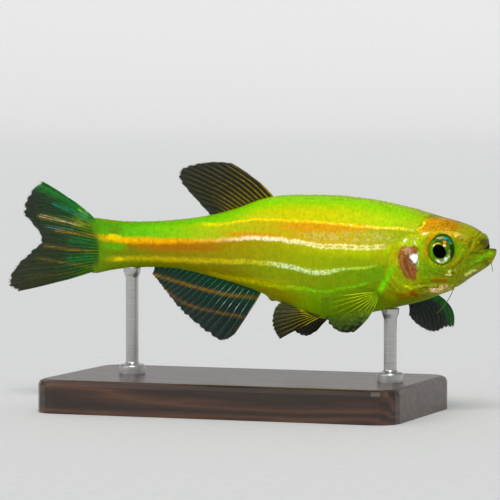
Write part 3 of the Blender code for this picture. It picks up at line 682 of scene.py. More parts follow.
def line_distance(x, level, points):
    """Distance on the side view from a smooth line, whose points are place, level, place, level."""
    nearest = np.full(np.shape(x), 99)
    spots = even_curve(pairs(points))(np.linspace(0, 1, 5 * len(points) // 2))
    for (x0, level0), (x1, level1) in zip(spots[:-1], spots[1:]):
        run, rise = x1 - x0, level1 - level0
        t = np.clip(((x - x0) * run + (level - level0) * rise) / (run * run + rise * rise), 0, 1)
        nearest = np.minimum(nearest, np.hypot(x - x0 - t * run, level - level0 - t * rise))
    return nearest


def gill_relief(x, level):
    ahead = x - gill_opening_at(level)
    reach = fade(level, -4.4, -3.2) * fade(level, 2.6, 1.7)
    edge = GILL_RAISE * np.exp(-np.maximum(ahead, 0) / 1.3) * fade(ahead, -0.05, 0.07)
    crevice = -GILL_CREVICE * np.exp(np.minimum(ahead, 0) / 0.3) * fade(ahead, 0.02, -0.06)
    inner = x - gill_front_at(level)
    step = PLATE_STEP * np.exp(-np.maximum(inner, 0) / 0.7) * fade(inner, -0.05, 0.06)
    step = step - PLATE_STEP * hump(inner + 0.1, 0.1)
    return (edge + crevice) * reach + step * fade(level, -2.6, -2) * fade(level, 2.2, 1.6)


def socket_reach(x, level):
    """0 in the middle of the opening round the eye and 1 on its edge."""
    return np.hypot((x - EYE_X) / SOCKET[0], (level - EYE_LEVEL) / SOCKET[1])


def eye_relief(x, level):
    """A bowl for the eyeball with a thin raised rim and a soft fold round it."""
    reach = socket_reach(x, level)
    height = -SOCKET_DEPTH * fade(reach, 1, 0.86)
    for rise, at_reach, width in EYE_RIMS:
        height = height + rise * hump(reach - at_reach, width)
    return height


def relief(x, out, level):
    """How far the skin stands over the plain body, in millimetres."""
    height = gill_relief(x, level) + eye_relief(x, level)
    for width, rise, points in sum(FOLDS.values(), []):
        height = height + rise * hump(line_distance(x, level, points), width)
    for place, at_level, radius in NOSTRILS:
        reach = np.hypot(x - place, level - at_level)
        height = height - NOSTRIL_DEPTH * fade(reach, radius, 0.3 * radius)
        height = height + NOSTRIL_RIM * hump(reach - radius, 0.07)
    lobe = np.hypot((x - LOBE[0]) / LOBE_REACH[0], (level - LOBE[1]) / LOBE_REACH[1])
    height = height + LOBE_HEIGHT * fade(lobe, 1.1, 0.1)
    vent = hump(x - VENT_X, 0.4) * hump(out, 0.45) * fade(level, -3, -4)
    return height + VENT_HEIGHT * vent


# %% Push the skin along its normals
rest_points = read_points(skin.data) / MM
normals = np.array([normal.vector for normal in skin.data.vertex_normals])
column = read_numbers(skin.data, "column")
skin_x = rest_points[:, 0] - FISH_ALONG
skin_out = np.abs(rest_points[:, 1] - sway_at(skin_x))
skin_level = rest_points[:, 2] - AXIS_HEIGHT
heights = relief(skin_x, skin_out, skin_level) * (column < RING)
skin.data.vertices.foreach_set("co", ((rest_points + normals * heights[:, None]) * MM).ravel())
skin.data.update()
print("relief from", round(float(heights.min()), 2), "to", round(float(heights.max()), 2), "mm")

# %% The skin's own unwrap
def unwrap_skin(mesh, column, x):
    """Place along the fish across, way round up; the mouth's inside has its own strip."""
    corners, face_of = corner_points(mesh)
    across = map_across(x[corners])
    line = column[corners]
    inside = np.bincount(face_of, line >= RING)[face_of] > 0
    low = np.full(len(mesh.polygons), 1e9)
    np.minimum.at(low, face_of, line)
    high = np.full(len(mesh.polygons), -1e9)
    np.maximum.at(high, face_of, np.where(line < RING, line, -1e9))
    wraps = (high - low)[face_of] > HALF_RING
    up = np.where(wraps & (line < HALF_RING), line + RING, line) / RING * MAP_TOP
    in_strip = np.clip((line - RING + 1) / (ROOF_POINTS + 1), 0, 1)
    up = np.where(inside, MAP_TOP + 0.01 + 0.04 * in_strip, up)
    write_map(mesh, across, up)


unwrap_skin(skin.data, column, skin_x)
print("unwrap", skin.data.uv_layers[0].name)
# %% [markdown]
# ## Colours of the flank
#
# The markings run in bands from gill cover to tail: lime back, gold line, orange band, cream
# stripe and so on to the belly. Each band is a ramp along the fish and each border a smooth curve
# of level over place, in one node group that skin and scales share, so the markings run on.
# This fish has next to no blue, so a colour of two numbers is red and green.

# %% Middle lines of the stripes as place, level, ... and bands as stops of place and colour
STRIPES = [
    [-16, 1.75, -10, 2.05, -6, 2.25, -3.2, 2.35, -1.9, 2.45, -0.35, 2.65, 1.5, 2.86, 4.6, 2.83, 7.65, 2.7,
     11.6, 2.39, 14.9, 2.25, 16.4, 2.03, 24, 1.9],
    [-16, 1.12, -14, 0.86, -12.5, 0.73, -10.35, 0.72, -6.5, 0.8, -1.75, 0.97, 0.8, 1.2, 4.6, 1.06,
     7.5, 0.67, 9.8, 0.61, 13.1, 0.62, 15, 0.95, 24, 0.9],
    [-16, -1.12, -13.2, -1.04, -10.4, -0.91, -6.55, -0.95, -1.8, -0.99, 0.8, -0.97, 4, -1.17, 5.6, -1.47,
     7.6, -1.72, 9.6, -1.4, 11.7, -1.22, 13, -0.97, 24, -0.9],
    [-16, -1.9, -10, -1.65, -6, -1.85, -1.8, -2.46, 0.6, -2.73, 3.2, -3.1, 5.7, -3.19, 7.7, -3.43,
     9.2, -3.15, 10.7, -2.89, 12.1, -2.53, 14, -2.3, 24, -2.2],
]
BACK_GREEN = [(-16, 60, 136), (-12, 80, 164), (-5, 104, 190), (1, 128, 200), (8, 134, 202), (15, 140, 200),
    (18, 140, 150)]
BACK_YELLOW = [(-16, 74, 140), (-9, 104, 170), (-4, 142, 190), (1, 186, 196), (5, 198, 194), (9, 194, 200),
    (14, 170, 204), (18, 170, 170)]
UNDER_GOLD = [(-16, 84, 150), (-10, 100, 186), (-7, 126, 190), (-4, 160, 186), (1, 182, 176),
    (6, 198, 164, 6), (10, 194, 170, 24), (14, 160, 170, 10), (18, 130, 156)]
UNDER_CREAM = [(-16, 88, 158), (-13, 132, 118), (-8, 166, 106), (-2, 160, 126), (2, 158, 152),
    (7, 172, 178), (12, 176, 190), (16, 150, 186)]
MIDDLE_LOW = [(-16, 80, 136), (-12, 112, 126), (-6, 140, 126), (0, 150, 144), (6, 148, 164),
    (12, 132, 158), (16, 120, 156)]
LOWER_BAND = [(-16, 92, 124), (-9, 112, 118), (-2, 128, 118), (3, 132, 150), (8, 116, 148), (13, 104, 146),
    (18, 110, 130)]
BELLY = [(-16, 90, 120), (-8, 118, 128), (-2, 130, 132), (3, 126, 150), (8, 110, 152), (12, 106, 134),
    (15, 94, 106), (24, 84, 92)]
STRIPE_COLOURS = [
    [(-6, 200, 210), (-1, 255, 222), (4, 255, 212), (9, 255, 218, 10), (16, 250, 234, 60)],
    [(-16, 190, 176), (-12, 240, 180), (-6, 240, 172), (-3, 236, 180, 60), (-0.5, 246, 214, 160),
     (2, 246, 232, 184), (5, 244, 232, 160), (9, 246, 242, 160), (14, 240, 238, 150)],
    [(-16, 176, 170), (-8, 196, 174), (-2, 206, 188), (2, 200, 196, 30), (4.3, 226, 246, 190),
     (8, 222, 242, 160), (11, 190, 222, 70), (14, 160, 200, 20)],
    [(-16, 130, 140), (-4, 176, 156), (0, 196, 182), (3.5, 180, 190), (6.5, 124, 206), (14, 112, 200)],
]
# Half width of each stripe, as place, half width, ...
STRIPE_HALF = [
    [-16, 0.07, 0, 0.085, 16, 0.1],
    [-16, 0.24, -9, 0.25, -4, 0.14, 0, 0.15, 6, 0.19, 14, 0.2],
    [-16, 0.19, 2, 0.2, 8.3, 0.2, 9.8, 0.1, 14, 0.09],
    [-16, 0.13, -1, 0.2, 4.5, 0.18, 6.5, 0.11, 14, 0.09],
]
STRIPE_ENDS = [(-5, 16.3), (-15.3, 13.9), (-14.2, 13.2), (-4, 12.6)]     # where each begins and ends

# %% [markdown]
# Real markings are never ruled lines. Noise bends the level before it is compared with the
# curves, each stripe breaks into blocks a scale long, and fine upright fibres, the muscle blocks
# under the skin, run through the bands.

# %% The node group with the markings
colours = bpy.data.node_groups.new("danio colours", "ShaderNodeTree")
colours.interface.new_socket(name="Colour", in_out="OUTPUT", socket_type="NodeSocketColor")
brush = Brush(colours)
in_mm, along, level = fish_places(brush)
# This tree's arithmetic under short names
plus, minus, times, noise, mix, lay = brush.plus, brush.minus, brush.times, brush.noise, brush.mix, brush.lay


def wobble(scale, size, place=in_mm):
    """Noise round zero; scale is features per millimetre and size is the swing."""
    return times(minus(noise(place, scale), 0.5), size)


def along_ramp(stops):
    return brush.ramp(along, [(place, tint(*colour)) for place, *colour in stops])


def spots(scale, low, high):
    """A mask of scattered spots, where a noise is high."""
    return brush.fade(noise(in_mm, scale, 2, 0.6), low, high)


fibre_place = brush.vector(in_mm, (3.4, 1, 0.45))
bent_level = plus(level, plus(wobble(0.8, 0.22), wobble(4.5, 0.22)))
middles = [brush.graph(along, points, -4, 4) for points in STRIPES]
below_stripe = [brush.fade(minus(middle, bent_level), -0.14, 0.14) for middle in middles]
under_top = minus(brush.graph(along, TOP_OUTLINE, -1, 6), level)

depth_share = brush.fade(plus(under_top, wobble(1.5, 0.8, fibre_place)), 0.3, 1.5)
bands = mix(depth_share, along_ramp(BACK_GREEN), along_ramp(BACK_YELLOW))
bands = mix(below_stripe[0], bands, along_ramp(UNDER_GOLD))
near_cream = plus(minus(middles[1], bent_level), wobble(0.6, 0.5))
middle_band = mix(brush.fade(near_cream, 0.3, 1.3), along_ramp(UNDER_CREAM), along_ramp(MIDDLE_LOW))
for below, band in zip(below_stripe[1:], (middle_band, along_ramp(LOWER_BAND), along_ramp(BELLY))):
    bands = mix(below, bands, band)
print("bands from", len(colours.nodes), "nodes")

# %% Patches on the flank: place, level, half length, half height, colour, share
FLANK_PATCHES = {
    "root of the tail": [(-13.1, 0.15, 1.5, 0.5, (92, 160), 0.9)],
    "under the cream stripe": [(-6.8, 0.22, 5.4, 0.45, (164, 104), 0.85)],
    "dark and green at the tail": [(-13.2, 1.6, 0.9, 0.5, (92, 112), 0.5), (-15.6, -0.2, 0.9, 1.9,
     (26, 66, 8), 0.9), (-15.2, 1.9, 0.9, 0.7, (84, 150), 0.7)],
    "behind the gills": [(12.9, -0.2, 0.9, 1, (160, 160), 0.5)],
    "orange and gold by the stripes": [(0.5, 1.5, 3.6, 0.3, (212, 146), 0.75), (7.8, 2.3, 5.2, 0.55,
     (214, 150), 0.85), (1, -2.6, 4.2, 0.3, (172, 164), 0.5)],
    "brown low on the belly": [(2.2, -4.1, 3.8, 1.1, (136, 116), 0.6)],
}


def soft_spot(place, at_level, half_length, half_height):
    """An ellipse on the side view that fades from its middle to a ragged edge."""
    dx = brush.sum("DIVIDE", minus(along, place), half_length)
    dz = brush.sum("DIVIDE", minus(bent_level, at_level), half_height)
    reach = brush.sum("SQRT", plus(times(dx, dx), times(dz, dz)))
    return brush.fade(plus(reach, wobble(1.3, 0.5)), 1.1, 0.5)


def lay_patches(bands, patches):
    for *oval, colour, share in sum(patches.values(), []):
        bands = lay(bands, colour, soft_spot(*oval), share)
    return bands


bands = lay_patches(bands, FLANK_PATCHES)
upright = times(brush.fade(noise(fibre_place, 1.4, 2), 0.5, 0.66), soft_spot(7.5, -2.2, 5, 0.9))
bands = lay(bands, (146, 132), upright, 0.5)
bands = lay(bands, (214, 212, 160), soft_spot(10, 1.5, 5.2, 0.6), spots(4.6, 0.5, 0.62), 0.38)

# %% Stripes in blocks
PITCH = 1                 # length of a block, about that of a scale
CREAM = 1                 # which of the stripes is the cream one
SPECKS = [(255, 196), (230, 164, 60), (170, 190, 40), (140, 160)]     # for each stripe
END_SPOTS = {
    "yellow ends of the stripes": [(-13.25, 0.95, 0.85, 0.32, (232, 206), 0.9), (-12.75, -1.03, 0.5, 0.22,
     (226, 204), 0.85)],
}
glowing = times(brush.fade(along, 1, -5), 0.85)
softer = times(glowing, 0.14)


def stripe_mask(number):
    """1 on a stripe, whose half width swells and shrinks."""
    away = brush.sum("ABSOLUTE", minus(bent_level, middles[number]))
    half = brush.graph(along, STRIPE_HALF[number], 0, 0.5)
    half = times(half, plus(wobble(2.3, 1.5), 1))
    on_line = brush.fade(minus(away, half), plus(softer, 0.11), minus(-0.09, softer))
    grit = brush.fade(noise(in_mm, 6, 3, 0.6), *((0.2, 0.42) if number == CREAM else (0.28, 0.56)))
    on_line = times(on_line, brush.sum("MAXIMUM", grit, glowing))
    start, end = STRIPE_ENDS[number]
    ends = times(brush.fade(along, start - 0.6, start + 1.2), brush.fade(along, end, end - 1.3))
    return times(on_line, ends)


slant = plus(along, times(level, 0.35))
block = brush.sum("PINGPONG", plus(slant, wobble(1.1, 1.1)), PITCH / 2)
seam = times(brush.fade(block, 0.13, 0), brush.fade(along, -1.5, 1))
seam = times(seam, brush.fade(noise(in_mm, 1.3), 0.3, 0.55))
for number, stops in enumerate(STRIPE_COLOURS):
    mask = stripe_mask(number)
    speck_share = times(spots(3.4, 0.5, 0.6), times(brush.fade(along, -9, 0), 0.55))
    if number > 0:
        depth = 0.55 if number == CREAM else 0.75
        gaps = brush.sum("MAXIMUM", times(seam, depth), times(spots(2.6, 0.6, 0.66), depth - 0.2))
        mask = times(mask, minus(1, gaps))
    if number == CREAM:
        speck_share = times(speck_share, brush.fade(along, 0.5, -3))
    inside = mix(speck_share, along_ramp(stops), tint(*SPECKS[number]))
    if number == CREAM:
        inside = lay(inside, (200, 124), spots(2.4, 0.45, 0.62), glowing, 0.5)
    bands = mix(mask, bands, inside)
away = brush.sum("ABSOLUTE", minus(bent_level, middles[CREAM]))
cells = times(brush.fade(away, 0.14, 0.07), brush.fade(block, 0.12, 0.22), brush.fade(along, 6, 8))
bands = lay(bands, (196, 178, 30), cells, 0.85)
bands = lay_patches(bands, END_SPOTS)
beads = times(stripe_mask(0), times(spots(5, 0.58, 0.66), 0.8))
bands = lay(bands, (255, 250, 190), beads, brush.fade(along, 3, 12))

# %% Speckles along the back, fibres and grain
bands = lay(bands, (150, 110), brush.fade(under_top, 0.26, 0.06), spots(3.4, 0.42, 0.56), 0.6)
dark_line = brush.sum("ABSOLUTE", plus(minus(under_top, 0.3), wobble(0.6, 0.2)))
dark_line = times(brush.fade(dark_line, 0.1, 0.02), spots(3.4, 0.46, 0.62), brush.fade(along, 3, 8))
bands = lay(bands, (110, 100), dark_line, 0.35)
fibres = brush.between(noise(fibre_place, 1.1, 3, 0.6), 0.94, 1.06)
grain = brush.between(noise(in_mm, 3.6, 5, 0.7), 0.84, 1.16)
bands = brush.shaded(bands, times(fibres, grain))
result = colours.nodes.new("NodeGroupOutput")
colours.links.new(bands, result.inputs["Colour"])
print("markings made of", len(colours.nodes), "nodes")

# %% [markdown]
# ## Colours of the head
#
# The head has no scales, only patches and lines: an orange nape, red gills behind a clear cover,
# pale folds at the throat. Some marks are painted shade and highlights, in folds, at the mouth and
# on the snout. The skin's points lie under a tenth of a millimetre apart there, so the head is
# painted on them as an attribute, mark after mark. Noise bends every mark's edge.

# %% Large areas of the head: place, level, half length, half height, tilt, colour, share
HEAD_AREAS = {
    "gill cover": [(15.2, -0.9, 2, 3.2, 0, (146, 158), 0.9), (15.5, 1.3, 1.6, 0.9, 0, (176, 196), 0.85),
     (14.2, -0.4, 0.5, 1.3, 0, (178, 172), 0.6), (14.7, -1.9, 0.7, 0.9, 30, (138, 150), 0.7),
     (15, -2.35, 0.9, 0.26, -28, (124, 158), 0.6)],
    "cheek": [(17.5, -0.9, 1.2, 1.9, 0, (116, 156), 0.9), (17.9, -1.5, 1.1, 0.5, 8, (96, 116), 0.75),
     (18.3, -1.25, 0.9, 0.28, 6, (98, 146), 0.7)],
    "behind the eye": [(16.85, 0.85, 0.42, 1.1, 0, (138, 186), 0.9), (17.1, 0, 0.45, 0.7, 0,
     (150, 156), 0.6), (17, 1.75, 0.8, 0.35, 0, (200, 190), 0.8), (17.3, 0.72, 0.34, 1.1, -6,
     (176, 126), 0.65), (17.75, 1.6, 0.42, 0.26, 30, (204, 148), 0.8)],
    "over and before the eye": [(18.5, 1.98, 1.5, 0.26, -3, (196, 172), 0.9), (20.3, 2.2, 1.1, 0.6, -24,
     (146, 146), 0.85), (19.75, 1.75, 0.35, 0.28, -30, (214, 190), 0.85), (20.3, 1.4, 0.9, 0.5, -10,
     (156, 146), 0.8), (20.05, 0.5, 0.5, 1.2, 0, (116, 144), 0.85), (20.05, 1.42, 0.18, 0.3, 0,
     (140, 104), 0.7), (19.78, 0.7, 0.14, 0.8, 0, (84, 136), 0.7)],
    # In "snout" the last oval darkens the snout's rounded front: painted shade.
    "snout": [(21.5, 1, 0.7, 0.85, 0, (100, 100), 0.95), (21.85, 1.6, 0.35, 0.16, -24, (100, 132), 0.8),
     (21.35, 1.2, 0.22, 0.2, 0, (146, 142), 0.5), (21.25, 0.6, 0.36, 0.34, 0, (128, 104), 0.8),
     (22.05, 0.95, 0.26, 0.6, 0, (62, 70), 0.9)],
    "jaw and chin": [(21.1, -0.9, 1.6, 0.8, 32, (106, 120), 0.9), (20.6, -0.9, 0.6, 0.26, 30,
     (108, 140), 0.6), (20.6, -2, 1.2, 0.4, 36, (104, 96), 0.8), (22.3, -0.75, 0.4, 0.3, 40,
     (84, 96), 0.7)],
    "throat": [(15.5, -4.2, 2.6, 0.7, 14, (92, 104), 0.85), (15.2, -3.6, 1.35, 0.32, 8, (136, 92), 0.85),
     (15.85, -3.56, 0.5, 0.14, 10, (104, 60), 0.8)],
}

# %% Outlined marks: softness, colour, share, outline
HEAD_SHAPES = {
    "orange nape": (0.07, (200, 140), 1, [16.56, 2.26, 16.74, 2.52, 16.82, 2.94, 17, 3.17, 17.47, 3.22,
     17.9, 3.22, 18.4, 3.3, 18.8, 3.3, 18.9, 2.9, 18.8, 2.5, 18.9, 2.1, 18.65, 2.06, 17.95, 2.1,
     17.4, 2.06, 16.9, 2.02, 16.5, 2.02]),
    "front of the nape": (0.4, (176, 124), 1, [18.4, 3.4, 18.4, 2.2, 19.1, 2.1, 19.75, 2.1, 19.75, 2.6,
     19.3, 3.1]),
    "green wedge": (0.22, (104, 192), 0.9, [14.35, -0.8, 14.3, -1.5, 13.9, -2.1, 13.5, -2.75, 13.1, -3.3,
     12.75, -3.5, 12.6, -3.25, 13, -2.6, 13.45, -1.9, 13.9, -1.2]),
    "gills": (0.1, (136, 84, 30), 1, [14.95, 0.71, 14.74, 0.23, 14.7, -0.3, 14.78, -0.92, 14.98, -1.45,
     15.27, -1.89, 15.6, -2.2, 15.94, -2.33, 16.22, -2.15, 16.37, -1.7, 16.33, -1.16, 16.26, -0.63,
     16.39, 0, 16.4, 0.6, 16.11, 0.77, 15.66, 0.71, 15.31, 0.76]),
    "red of the gills": (0.25, (120, 64, 26), 0.7, [15.2, -0.3, 15.7, -0.2, 16.1, -0.9, 16.1, -1.7,
     15.8, -2, 15.3, -1.5, 15.1, -0.9]),
    "brown foot of the cheek": (0.14, (134, 84), 0.9, [17.22, -2.13, 17.41, -2.36, 17.99, -2.45,
     18.84, -2.35, 18.88, -2.12, 18.05, -2.1]),
    "throat fold": (0.05, (222, 184, 126), 1, [17.2, -3, 17.3, -2.78, 17.55, -2.92, 17.8, -3, 18.02, -2.9,
     18.22, -2.7, 18.6, -2.68, 18.95, -2.75, 18.9, -2.95, 18.5, -3.05, 18.17, -3.2, 17.7, -3.34,
     17.3, -3.25]),
    "white sheen": (0.05, (252, 255, 255), 1, [15.75, -0.2, 15.95, -0.04, 16.22, 0.02, 16.48, -0.08,
     16.5, -0.3, 16.32, -0.52, 16.17, -0.72, 16.03, -0.6, 15.9, -0.44, 15.72, -0.34]),
}

# %% Lines of the head: width, colour, share, points
HEAD_LINES = {
    "nape": [(0.09, (250, 214), 0.9, [16.83, 3.07, 16.77, 2.6, 16.52, 2.26, 16.37, 2.08]), (0.08,
     (222, 184), 0.5, [16.6, 1.98, 17.4, 2, 18.4, 2.03, 19.4, 2.02])],
    # In "before the eye" the third line is painted shade in the groove below the eye.
    "before the eye": [(0.11, (176, 146, 10), 0.8, [20, -0.3, 19.52, -0.69, 19.25, -1.02]), (0.06,
     (116, 168), 0.7, [19.96, -0.33, 20.22, 0.11, 20.38, 0.4]), (0.06, (84, 72), 0.7, [20.16, -0.35,
     20.11, -0.6, 20.13, -0.95])],
    # In "jaw" the first line is painted shade in the groove of the jaw's joint, the second a painted
    # highlight on its edge and the third a painted highlight along the jaw's ridge.
    "jaw": [(0.06, (92, 104), 0.6, [20.1, -1.1, 19.9, -1.7, 19.44, -2.52, 18.94, -3.12]), (0.05,
     (172, 164, 10), 0.5, [20.05, -1.2, 19.72, -1.85, 19.3, -2.5, 18.8, -3.1]), (0.11, (196, 206, 96), 1,
     [20.44, -1.7, 20.61, -1.6, 20.87, -1.46, 21.3, -1.28]), (0.07, (152, 136, 10), 0.9, [21.35, -1.22,
     21.5, -1.1, 21.69, -0.95]), (0.08, (78, 76), 0.6, [20.8, -1.75, 21.4, -1.35, 21.94, -0.7,
     22.4, -0.36])],
    # In "mouth" the second and third lines are painted shade along the slit between the jaws, the fifth in
    # the crease of the mouth and the last in the groove under the lip.
    "mouth": [(0.17, (108, 178), 1, [21.05, -0.75, 21.5, -0.42, 21.9, -0.16, 22.5, 0.12]), (0.07,
     (66, 76), 0.85, [21.18, 0.33, 21.48, 0.15, 21.77, 0.14, 22.02, 0.3, 22.6, 0.37]), (0.07,
     (46, 96), 0.9, [21.97, 0.46, 22.42, 0.43, 22.86, 0.43]), (0.05, (116, 136), 0.7, [21.42, 0.27,
     21.7, 0.36, 21.95, 0.5]), (0.06, (92, 96), 0.5, [21.15, 0.2, 20.6, -0.28, 20.1, -0.7]), (0.08,
     (88, 96), 0.6, [21.3, -0.78, 21.9, -0.6, 22.2, -0.42])],
    # In "snout" the first two lines are painted highlights on both edges of the snout's fold and the third is
    # painted shade in the fold.
    "snout": [(0.07, (170, 184), 0.4, [21.57, 1.83, 21.23, 1.73, 20.98, 1.5, 20.9, 1.3]), (0.1,
     (160, 160), 0.75, [21.7, 1.8, 21.45, 1.6, 21.25, 1.35, 21.15, 1.05, 21.13, 0.7]), (0.07,
     (92, 90), 0.6, [21.52, 1.9, 21.24, 1.62, 21.06, 1.4, 20.98, 1.1, 20.98, 0.7])],
    # In "rim of the eye" the third line is painted shade under the eye.
    "rim of the eye": [(0.055, (104, 56), 0.95, [17.36, 0.8, 17.34, 0.4, 17.42, 0, 17.7, -0.5, 18.2, -0.86,
     18.6, -0.92]), (0.06, (172, 180), 0.9, [17.45, -0.35, 17.9, -0.82, 18.49, -1.03, 19, -1]), (0.07,
     (84, 104), 0.6, [18.4, -1.1, 18.9, -1.12, 19.3, -0.95])],
    "cheek": [(0.08, (84, 100), 0.5, [16.9, -0.9, 17.3, -1.5, 18, -1.85, 18.8, -1.8]), (0.06,
     (150, 164), 0.4, [16.7, -0.6, 17.1, -1.2, 17.7, -1.76, 18.6, -1.9])],
    "shoulder": [(0.08, (228, 216), 0.95, [15.2, -2.8, 15.4, -2.86, 15.68, -2.97]), (0.07, (188, 190), 0.8,
     [14.2, -2.06, 14.36, -2.12, 14.55, -2.22]), (0.07, (178, 180), 0.6, [14.7, -2.66, 14.95, -2.72,
     15.2, -2.8])],
    "gill cover": [(0.07, (226, 204, 10), 0.6, [15, 2.12, 15.8, 2.06, 16.4, 2.02]), (0.08, (140, 150), 0.3,
     [14.45, 1.2, 13.95, 0, 13.9, -1.3, 14.3, -2.5])],
    "gills": [(0.07, (176, 120, 70), 0.6, [15.1, 0.4, 15, -0.3, 15.15, -1, 15.5, -1.7]), (0.07,
     (96, 52, 8), 0.7, [15.35, 0.5, 15.3, -0.3, 15.45, -1.1, 15.75, -1.9]), (0.06, (170, 110, 74), 0.5,
     [15.65, -0.5, 15.75, -1.2, 15.95, -1.8]), (0.05, (176, 112, 40), 0.5, [14.95, 0.66, 14.76, 0.23,
     14.72, -0.3, 14.8, -0.92])],
    "throat": [(0.07, (86, 48), 0.95, [16.5, -2.9, 17, -2.86, 17.34, -2.9]), (0.06, (82, 46), 0.95,
     [17.6, -2.88, 17.9, -2.86, 18.1, -2.7]), (0.06, (96, 52), 0.9, [18.5, -2.66, 18.8, -2.95, 19, -2.7]),
     (0.045, (190, 160, 84), 0.9, [17.96, -3.38, 18.5, -3.2, 18.9, -2.97, 19.14, -2.69]), (0.05,
     (180, 170, 50), 0.9, [16.53, -2.8, 16.84, -2.76]), (0.08, (152, 152, 50), 0.8, [16.75, -3.24,
     17.2, -3.3])],
}

# %% Small spots on the head: place, level, half length, half height, tilt, colour, share
HEAD_SPOTS = {
    "gills": [(15.65, 0.4, 0.5, 0.28, -8, (186, 146, 112), 0.85), (15.6, 0.05, 0.3, 0.14, -20,
     (160, 104, 60), 0.6), (15.86, 0.04, 0.16, 0.08, 0, (160, 140, 160), 0.8), (15.1, 0.3, 0.3, 0.3, 0,
     (156, 96, 16), 0.7), (16.15, 0.42, 0.2, 0.24, 30, (156, 84, 16), 0.8), (16, 0.2, 0.12, 0.1, 20,
     (128, 20, 16), 0.95), (15.98, -0.62, 0.12, 0.2, 0, (126, 66, 60), 0.7)],
    "blue and green by the gills' sheen": [(15.78, -0.3, 0.09, 0.07, 0, (150, 200, 230), 0.9),
     (16.04, -0.74, 0.08, 0.06, 0, (110, 170, 190), 0.9), (16.16, -1.03, 0.09, 0.06, 0,
     (128, 116, 140), 0.9), (16.38, -0.75, 0.1, 0.2, 0, (160, 150, 80), 0.8), (16.44, -0.54, 0.06, 0.12, 0,
     (190, 236, 190), 0.9), (16.54, -0.7, 0.07, 0.16, 0, (120, 220, 60), 0.9),
     (16.53, -0.92, 0.07, 0.08, 0, (150, 226, 150), 0.9), (16.46, -1.18, 0.09, 0.1, 0,
     (110, 176, 90), 0.9), (16.5, 0.1, 0.09, 0.16, 0, (170, 196, 110), 0.8)],
    "glints over the gills": [(15.35, 1.22, 0.23, 0.07, 38, (250, 255, 244), 1),
     (14.98, 0.98, 0.07, 0.08, 0, (236, 224, 110), 1), (16.2, 0.98, 0.09, 0.12, 0, (255, 250, 230), 1),
     (16.18, 1.22, 0.08, 0.1, 20, (240, 214, 90), 1), (16.15, 1.5, 0.1, 0.08, 0, (232, 196, 110), 0.9),
     (16.43, 1.45, 0.06, 0.1, 0, (224, 236, 70), 0.9), (15.85, 1.46, 0.08, 0.08, 0, (196, 220, 90), 0.8),
     (15.8, 1.2, 0.08, 0.08, 0, (180, 216, 70), 0.8), (15.9, 0.97, 0.06, 0.06, 0, (190, 210, 110), 0.8),
     (14.5, 0.72, 0.14, 0.05, 40, (204, 214), 0.9)],
    # The first of these, a white dash, is a painted glint.
    "glint and spots behind the nape": [(17, 1.86, 0.34, 0.075, 10, (255, 244, 166), 1), (16.3, 2.18, 0.1, 0.07, 0,
     (246, 250, 70), 0.9), (14.47, 2.25, 0.16, 0.06, 0, (250, 255, 120), 0.9)],
    "joint of the jaw": [(19.22, -1.4, 0.24, 0.09, 44, (230, 230, 116), 1), (19.08, -1.75, 0.26, 0.08, 14,
     (226, 240, 150), 1), (19.68, -1.36, 0.1, 0.1, 0, (172, 172, 110), 0.8), (19.4, -1.6, 0.2, 0.08, 10,
     (50, 72), 0.8), (19.2, -1.96, 0.4, 0.06, 2, (120, 74), 0.8)],
    # In "throat" the second spot, white in the throat fold, is a painted highlight.
    "throat": [(17.87, -2.64, 0.2, 0.05, 8, (170, 142, 60), 0.9), (17.6, -3.1, 0.22, 0.07, 4,
     (255, 246, 224), 0.9), (18.3, -2.82, 0.09, 0.08, 0, (150, 160, 72), 0.8),
     (18.78, -2.78, 0.16, 0.06, 16, (176, 158, 96), 0.9), (17.9, -3.2, 0.2, 0.05, 4, (166, 186, 110), 0.7),
     (16.37, -2.74, 0.09, 0.06, 10, (172, 184, 66), 0.9)],
    "shoulder, brow and snout": [(15.36, -2.86, 0.12, 0.07, -20, (246, 244), 0.9),
     (19.72, 1.72, 0.08, 0.2, -34, (236, 210), 0.8), (20.13, 2, 0.12, 0.06, 0, (130, 120), 0.6),
     (20.37, 0.56, 0.08, 0.1, 0, (160, 172), 0.8), (21.53, 1.14, 0.1, 0.07, 0, (176, 168), 0.7)],
    "nape": [(17.55, 3.08, 0.36, 0.06, -4, (176, 106), 0.7), (18.39, 2.08, 0.2, 0.06, 0, (236, 186), 0.8),
     (16.66, 2.06, 0.16, 0.07, 10, (242, 196, 20), 0.8), (19, 2.42, 0.26, 0.07, 36, (210, 146), 0.7)],
}

# %% Where specks are dense: place, level, half length, half height, shares of pale, dark and warm specks
SPECK_AREAS = [
    (15.5, -0.6, 1, 1.7, (0.5, 0.35, 0.3)), (15.6, 0.5, 0.8, 0.5, (0.9, 0.3, 0.5)), (15.7, 1.2, 1.4, 0.6,
    (0.6, 0.1, 0.3)), (18.1, 2.6, 2, 0.7, (0.35, 0.85, 0.4)), (17.8, -1.2, 1.6, 1, (0.35, 0.5, 0.2)),
    (17.8, -2.9, 1.8, 0.5, (0.2, 0.5, 0.4)), (20.8, 1.4, 1.4, 1, (0.25, 0.4, 0.35)), (15.3, -3.4, 1.8, 0.7,
    (0.2, 0.3, 0.7)), (14.3, 0, 0.8, 2, (0.3, 0.1, 0.4)),
]
SPECKS_ELSEWHERE = (0.2, 0.25, 0.2)
paint_edge_at = smooth_curve([-7, 13.7, -4.4, 13.4, -3.3, 12.75, -2.6, 12.95, -1.9, 13.22, -1.3, 13.5,
    -0.6, 13.75, 0, 13.9, 1, 14.35, 2, 15.9, 2.5, 16.35, 3.2, 16.8, 5, 17.2])
HEAD_COLOUR = (122, 132)

# %% Painting on points
def blend_paint(paint, colour, share):
    return paint + (np.array(tint(*colour)[:3]) - paint) * share[:, None]


